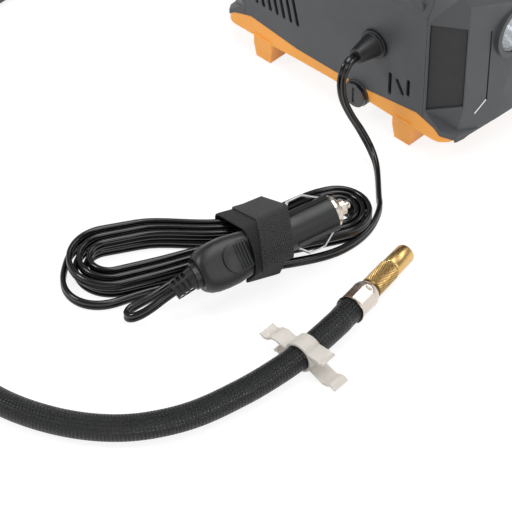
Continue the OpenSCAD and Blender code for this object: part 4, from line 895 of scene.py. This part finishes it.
# knurled grip and smooth tip that turn together on the stem
def makeSleeve():
    c = chuck
    x0, x1 = c["knurlAt"], c["knurlAt"] + c["knurl"]
    end = x1 + c["tip"]
    # knurl: a rolled-up grid whose cells are raised to small pyramids
    around = 2 * c["diamonds"]
    rows = round((c["knurl"] - 1.6) / c["pitch"]) * 2
    bm = bmesh.new()
    bmesh.ops.create_grid(bm, x_segments=rows, y_segments=around, size=0.5)
    ridge = bm.verts.layers.float.new("ridge")
    flat = list(bm.verts)
    step = (c["knurl"] - 1.6) / rows
    for vert in flat:
        i = round((vert.co.x + 0.5) * rows)
        j = round((vert.co.y + 0.5) * around)
        peak = (i + j) % 2 == 0 and 0 < i < rows
        r = c["knurlR"] + (0.0 if peak else -0.42)
        vert[ridge] = 1.0 if peak else 0.0
        t = 2 * pi * j / around
        vert.co = Vector((x0 + 0.8 + i * step, r * cos(t), r * sin(t))) * mm
    bmesh.ops.remove_doubles(bm, verts=bm.verts, dist=1e-6)
    for face in list(bm.faces):
        corners = list(face.verts)
        low = [v for v in corners if hypot(v.co.y, v.co.z) < (c["knurlR"] - 0.2) * mm]
        if len(low) == 2 and corners.index(low[1]) - corners.index(low[0]) == 2:
            bmesh.ops.connect_verts(bm, verts=low)
    ends = [[v for v in bm.verts if abs(v.co.x - x * mm) < 1e-6] for x in (x0 + 0.8, x1 - 0.8)]
    for verts, x in ((ends[0], x0), (ends[1], x1)):
        rim = ringEdges(verts)
        grown = bmesh.ops.extrude_edge_only(bm, edges=rim)
        moved = [v for v in grown["geom"] if isinstance(v, bmesh.types.BMVert)]
        for v in moved:
            t = atan2(v.co.z, v.co.y)
            v.co = Vector((x, 5.3 * cos(t), 5.3 * sin(t))) * mm
        bmesh.ops.contextual_create(bm, geom=ringEdges(moved))
    bmesh.ops.recalc_face_normals(bm, faces=bm.faces)
    bm.transform(chuckPlace())
    grip = addPiece("knurledGrip", bm, [look["knurled_brass"]], bodyOf["chuck_sleeve"], 20)
    grip.data.shade_flat()
    bm = bmesh.new()
    bore = c["valve"]
    outline = [(x1 - 0.3, 3.0), (x1 - 0.3, 5.0), (x1 + 0.5, 5.0), (x1 + 0.9, 5.35), (x1 + 1.2, 5.5),
               (end - 0.7, 5.5), (end - 0.25, 5.35), (end, 5.0), (end, 4.3), (end - 0.5, bore)]
    for i in range(9):
        x = end - 1.2 - 0.8 * i
        outline += [(x, bore), (x - 0.2, 4.2), (x - 0.4, 4.2), (x - 0.6, bore)]
    outline += [(end - 9.5, 3.0), (x1 - 0.3, 3.0)]
    turned(bm, outline, 72)
    bm.transform(chuckPlace())
    tip = addPiece("smoothTip", bm, [look["brass"]], bodyOf["chuck_sleeve"], 32)
    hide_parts("chuck_sleeve")
    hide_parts("chuck_sleeve")
    return [grip, tip]


# neck between ferrule and grip, with the pin that opens the valve
def makeStem():
    f = chuck["ferrule"]
    bm = bmesh.new()
    outline = [(4.4, 1.1), (4.4, 2.6), (f + 2.5, 2.6), (f + 2.5, 4.0), (f + 4.5, 4.0), (f + 4.5, 2.2),
               (f + 16.1, 2.2), (f + 16.5, 1.8), (f + 16.5, 1.1), (4.4, 1.1)]
    turned(bm, outline, 40)
    bm.transform(chuckPlace())
    piece = addPiece("chuckNeck", bm, [look["brass"]], bodyOf["chuck_stem"], 34)
    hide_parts("chuck_stem")
    return piece


# handle grip, lamp, marks on the keys

grip = {"length": 66.0, "over": 1.6, "barW": 28.0, "barT": 13.0, "top": 151.0, "ribs": 15}


# rubber sleeve on the handle bar: a rounded tube with ribs across it and a lip at each end
def makeGrip():
    g = grip
    z = g["top"] - g["barT"] / 2
    bm = bmesh.new()
    rings = []
    stations = [0.0, 0.5, 2.2, 2.7]
    step = (g["length"] - 8.0) / g["ribs"]
    for i in range(g["ribs"]):
        x = 4.0 + step * i
        stations += [x, x + 0.4, x + step - 1.4, x + step - 1.0]
    stations += [g["length"] - 2.7, g["length"] - 2.2, g["length"] - 0.5, g["length"]]
    for n, x in enumerate(stations):
        last = len(stations) - 1
        if n in (0, last):
            over = g["over"] - 0.5
        elif n in (1, 2, last - 2, last - 1):
            over = g["over"]
        elif n in (3, last - 3):
            over = g["over"] - 0.6
        else:
            over = g["over"] - (0.6 if (n - 4) % 4 in (0, 3) else 0.05)
        a, b = g["barW"] / 2 + over, g["barT"] / 2 + over
        made = ring(bm, x - g["length"] / 2, b, a, 5.0, 64)
        rings.append(made)
    a, b = g["barT"] / 2 - 0.2, g["barW"] / 2 - 0.2
    inner = [ring(bm, x - g["length"] / 2, a, b, 8.0, 64) for x in (g["length"], 0.0)]
    loops = rings + inner
    for a, b in zip(loops, loops[1:] + loops[:1]):
        bmesh.ops.bridge_loops(bm, edges=ringEdges(a) + ringEdges(b))
    bmesh.ops.recalc_face_normals(bm, faces=bm.faces)
    bmesh.ops.translate(bm, vec=(0, 0, z * mm), verts=bm.verts)
    piece = addPiece("rubberGrip", bm, [look["soft_rubber"]], "root", 30)
    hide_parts("handle_grip")
    return piece


# stands what is in bm on the outer face of a key, which looks towards +Y
def marked(bm, node):
    low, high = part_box(node)
    bmesh.ops.translate(bm, vec=((low[0] + high[0]) / 2, high[1], (low[2] + high[2]) / 2), verts=bm.verts)


# small raised plus, minus, ring and bar on the keys, in their own bodies
def makeMarks():
    pale = mouldedPlastic("keyMark", "F0F0EE", 0.5, 0.1)
    dark = mouldedPlastic("keyMarkDark", "26272A", 0.5, 0.1)
    made = []
    keys = {"button_power": pale, "button_mode": dark, "button_plus": dark, "button_minus": dark}
    for node, material in keys.items():
        bm = bmesh.new()
        if node in ("button_plus", "button_minus"):
            slab(bm, (-1.7, -0.1, -0.3), (1.7, 0.12, 0.3), 0.08)
        if node == "button_plus":
            slab(bm, (-0.3, -0.1, -1.7), (0.3, 0.12, 1.7), 0.08)
        if node in ("button_power", "button_mode"):
            outline = [(-0.1, 1.3), (0.12, 1.3), (0.12, 1.8), (-0.1, 1.8), (-0.1, 1.3)]
            turned(bm, outline, 40)
            bmesh.ops.rotate(bm, cent=(0, 0, 0), matrix=Matrix.Rotation(pi / 2, 3, "Z"), verts=bm.verts)
        if node == "button_power":
            slab(bm, (-0.25, -0.1, 0.5), (0.25, 0.13, 2.2), 0.08)
        marked(bm, node)
        made.append(addPiece(node.split("_")[1] + "Mark", bm, [material], bodyOf[node]))
    print("key marks ready")
    return made


# light-emitting chip on the floor of the reflector
def makeLampInside():
    low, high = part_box("lamp_reflector")
    middle = (low + high) / 2
    bm = bmesh.new()
    x = low[0] / mm + 1.5
    y, z = middle[1] / mm, middle[2] / mm
    slab(bm, (x - 0.1, y - 2.6, z - 2.6), (x + 0.7, y + 2.6, z + 2.6), 0.15)
    slab(bm, (x + 0.5, y - 1.7, z - 1.7), (x + 1.2, y + 1.7, z + 1.7), 0.3)
    chip = mouldedPlastic("lampChip", "E9D27A", 0.35, 0.1)
    return addPiece("lampChip", bm, [chip], "root")


# what stays as CAD made it

def dressNodes():
    count = 0
    for node, piece in nodes.items():
        if piece.hide_render:
            continue
        if not piece.material_slots:
            piece.data.materials.append(None)
        for place in piece.material_slots:
            place.link = "OBJECT"
            place.material = look[slotOf[node]]
        count += 1
    print("CAD pieces dressed:", count)


# floor, backdrop and lights

studio = {"sky": 0.3, "horizon": 1.0, "skyFrom": 0.05, "skyTo": 0.35,
          "floorGlow": 0.86, "floorShade": 0.2, "floorBounce": 0.8,
          # name, place in metres from the target, size, watts
          "lamps": [("keyLamp", (-0.8, -0.9, 1.0), (0.4, 0.3), 8.0),
                    ("fillLamp", (1.2, -0.3, 0.8), (0.5, 0.8), 4.0),
                    ("backLamp", (0.1, 1.1, 1.0), (1.2, 0.3), 4.0),
                    ("topLamp", (0.05, 0.15, 1.2), (1.1, 0.6), 9.0)]}


def makeFloor():
    bm = bmesh.new()
    bmesh.ops.create_grid(bm, x_segments=1, y_segments=1, size=8.0)
    mesh = bpy.data.meshes.new("floor")
    bm.to_mesh(mesh)
    bm.free()
    floorPiece = bpy.data.objects.new("floor", mesh)
    bpy.context.scene.collection.objects.link(floorPiece)
    material = bpy.data.materials.new("floorPaper")
    material.use_nodes = True
    tree = material.node_tree
    tree.nodes.clear()
    output = tree.nodes.new("ShaderNodeOutputMaterial")
    paper = tree.nodes.new("ShaderNodeBsdfDiffuse")
    paper.inputs["Color"].default_value = (studio["floorBounce"],) * 3 + (1.0,)
    shade = tree.nodes.new("ShaderNodeBsdfDiffuse")
    shade.inputs["Color"].default_value = (studio["floorShade"],) * 3 + (1.0,)
    glow = tree.nodes.new("ShaderNodeEmission")
    glow.inputs["Strength"].default_value = studio["floorGlow"]
    both = tree.nodes.new("ShaderNodeAddShader")
    tree.links.new(shade.outputs[0], both.inputs[0])
    tree.links.new(glow.outputs[0], both.inputs[1])
    rays = tree.nodes.new("ShaderNodeLightPath")
    seen = rays.outputs["Is Camera Ray"]
    for kind in ("Is Glossy Ray", "Is Transmission Ray"):
        more = tree.nodes.new("ShaderNodeMath")
        more.operation = "MAXIMUM"
        tree.links.new(seen, more.inputs[0])
        tree.links.new(rays.outputs[kind], more.inputs[1])
        seen = more.outputs[0]
    pick = tree.nodes.new("ShaderNodeMixShader")
    tree.links.new(seen, pick.inputs[0])
    tree.links.new(paper.outputs[0], pick.inputs[1])
    tree.links.new(both.outputs[0], pick.inputs[2])
    tree.links.new(pick.outputs[0], output.inputs["Surface"])
    mesh.materials.append(material)


# pale at the horizon, like the paper of the backdrop, and dimmer overhead
def makeWorld():
    world = bpy.data.worlds.new("studio")
    bpy.context.scene.world = world
    world.use_nodes = True
    tree = world.node_tree
    back = tree.nodes["Background"]
    coords = tree.nodes.new("ShaderNodeTexCoord")
    parts = tree.nodes.new("ShaderNodeSeparateXYZ")
    ramp = tree.nodes.new("ShaderNodeMapRange")
    ramp.interpolation_type = "SMOOTHSTEP"
    ramp.inputs["From Min"].default_value = studio["skyFrom"]
    ramp.inputs["From Max"].default_value = studio["skyTo"]
    ramp.inputs["To Min"].default_value = studio["horizon"]
    ramp.inputs["To Max"].default_value = studio["sky"]
    tree.links.new(coords.outputs["Generated"], parts.inputs[0])
    tree.links.new(parts.outputs["Z"], ramp.inputs["Value"])
    tree.links.new(ramp.outputs["Result"], back.inputs["Strength"])
    back.inputs["Color"].default_value = (1.0, 1.0, 1.0, 1.0)


def makeLamps():
    target = Vector(view["target"])
    for name, place, size, watts in studio["lamps"]:
        data = bpy.data.lights.new(name, "AREA")
        data.shape = "RECTANGLE"
        data.size, data.size_y = size
        data.energy = watts
        lamp = bpy.data.objects.new(name, data)
        bpy.context.scene.collection.objects.link(lamp)
        lamp.location = target + Vector(place)
        lamp.rotation_euler = (-Vector(place)).to_track_quat("-Z", "Y").to_euler()
    print("studio ready")


# run

makeCamera()
look = makeMaterials()
leadPiece, leadPath, leadTotal = makeLead()
hosePiece, hosePath, hoseTotal = makeHose()
plugPieces = makePlug()
strapPiece = makeStrap()
chuckPieces = [makeFerrule(), makeStem()] + makeSleeve()
skins = makeHousing()
makeGrip()
makeMarks()
makeLampInside()
dressNodes()
makeFloor()
makeWorld()
makeLamps()
bpy.context.scene.view_settings.view_transform = "Standard"
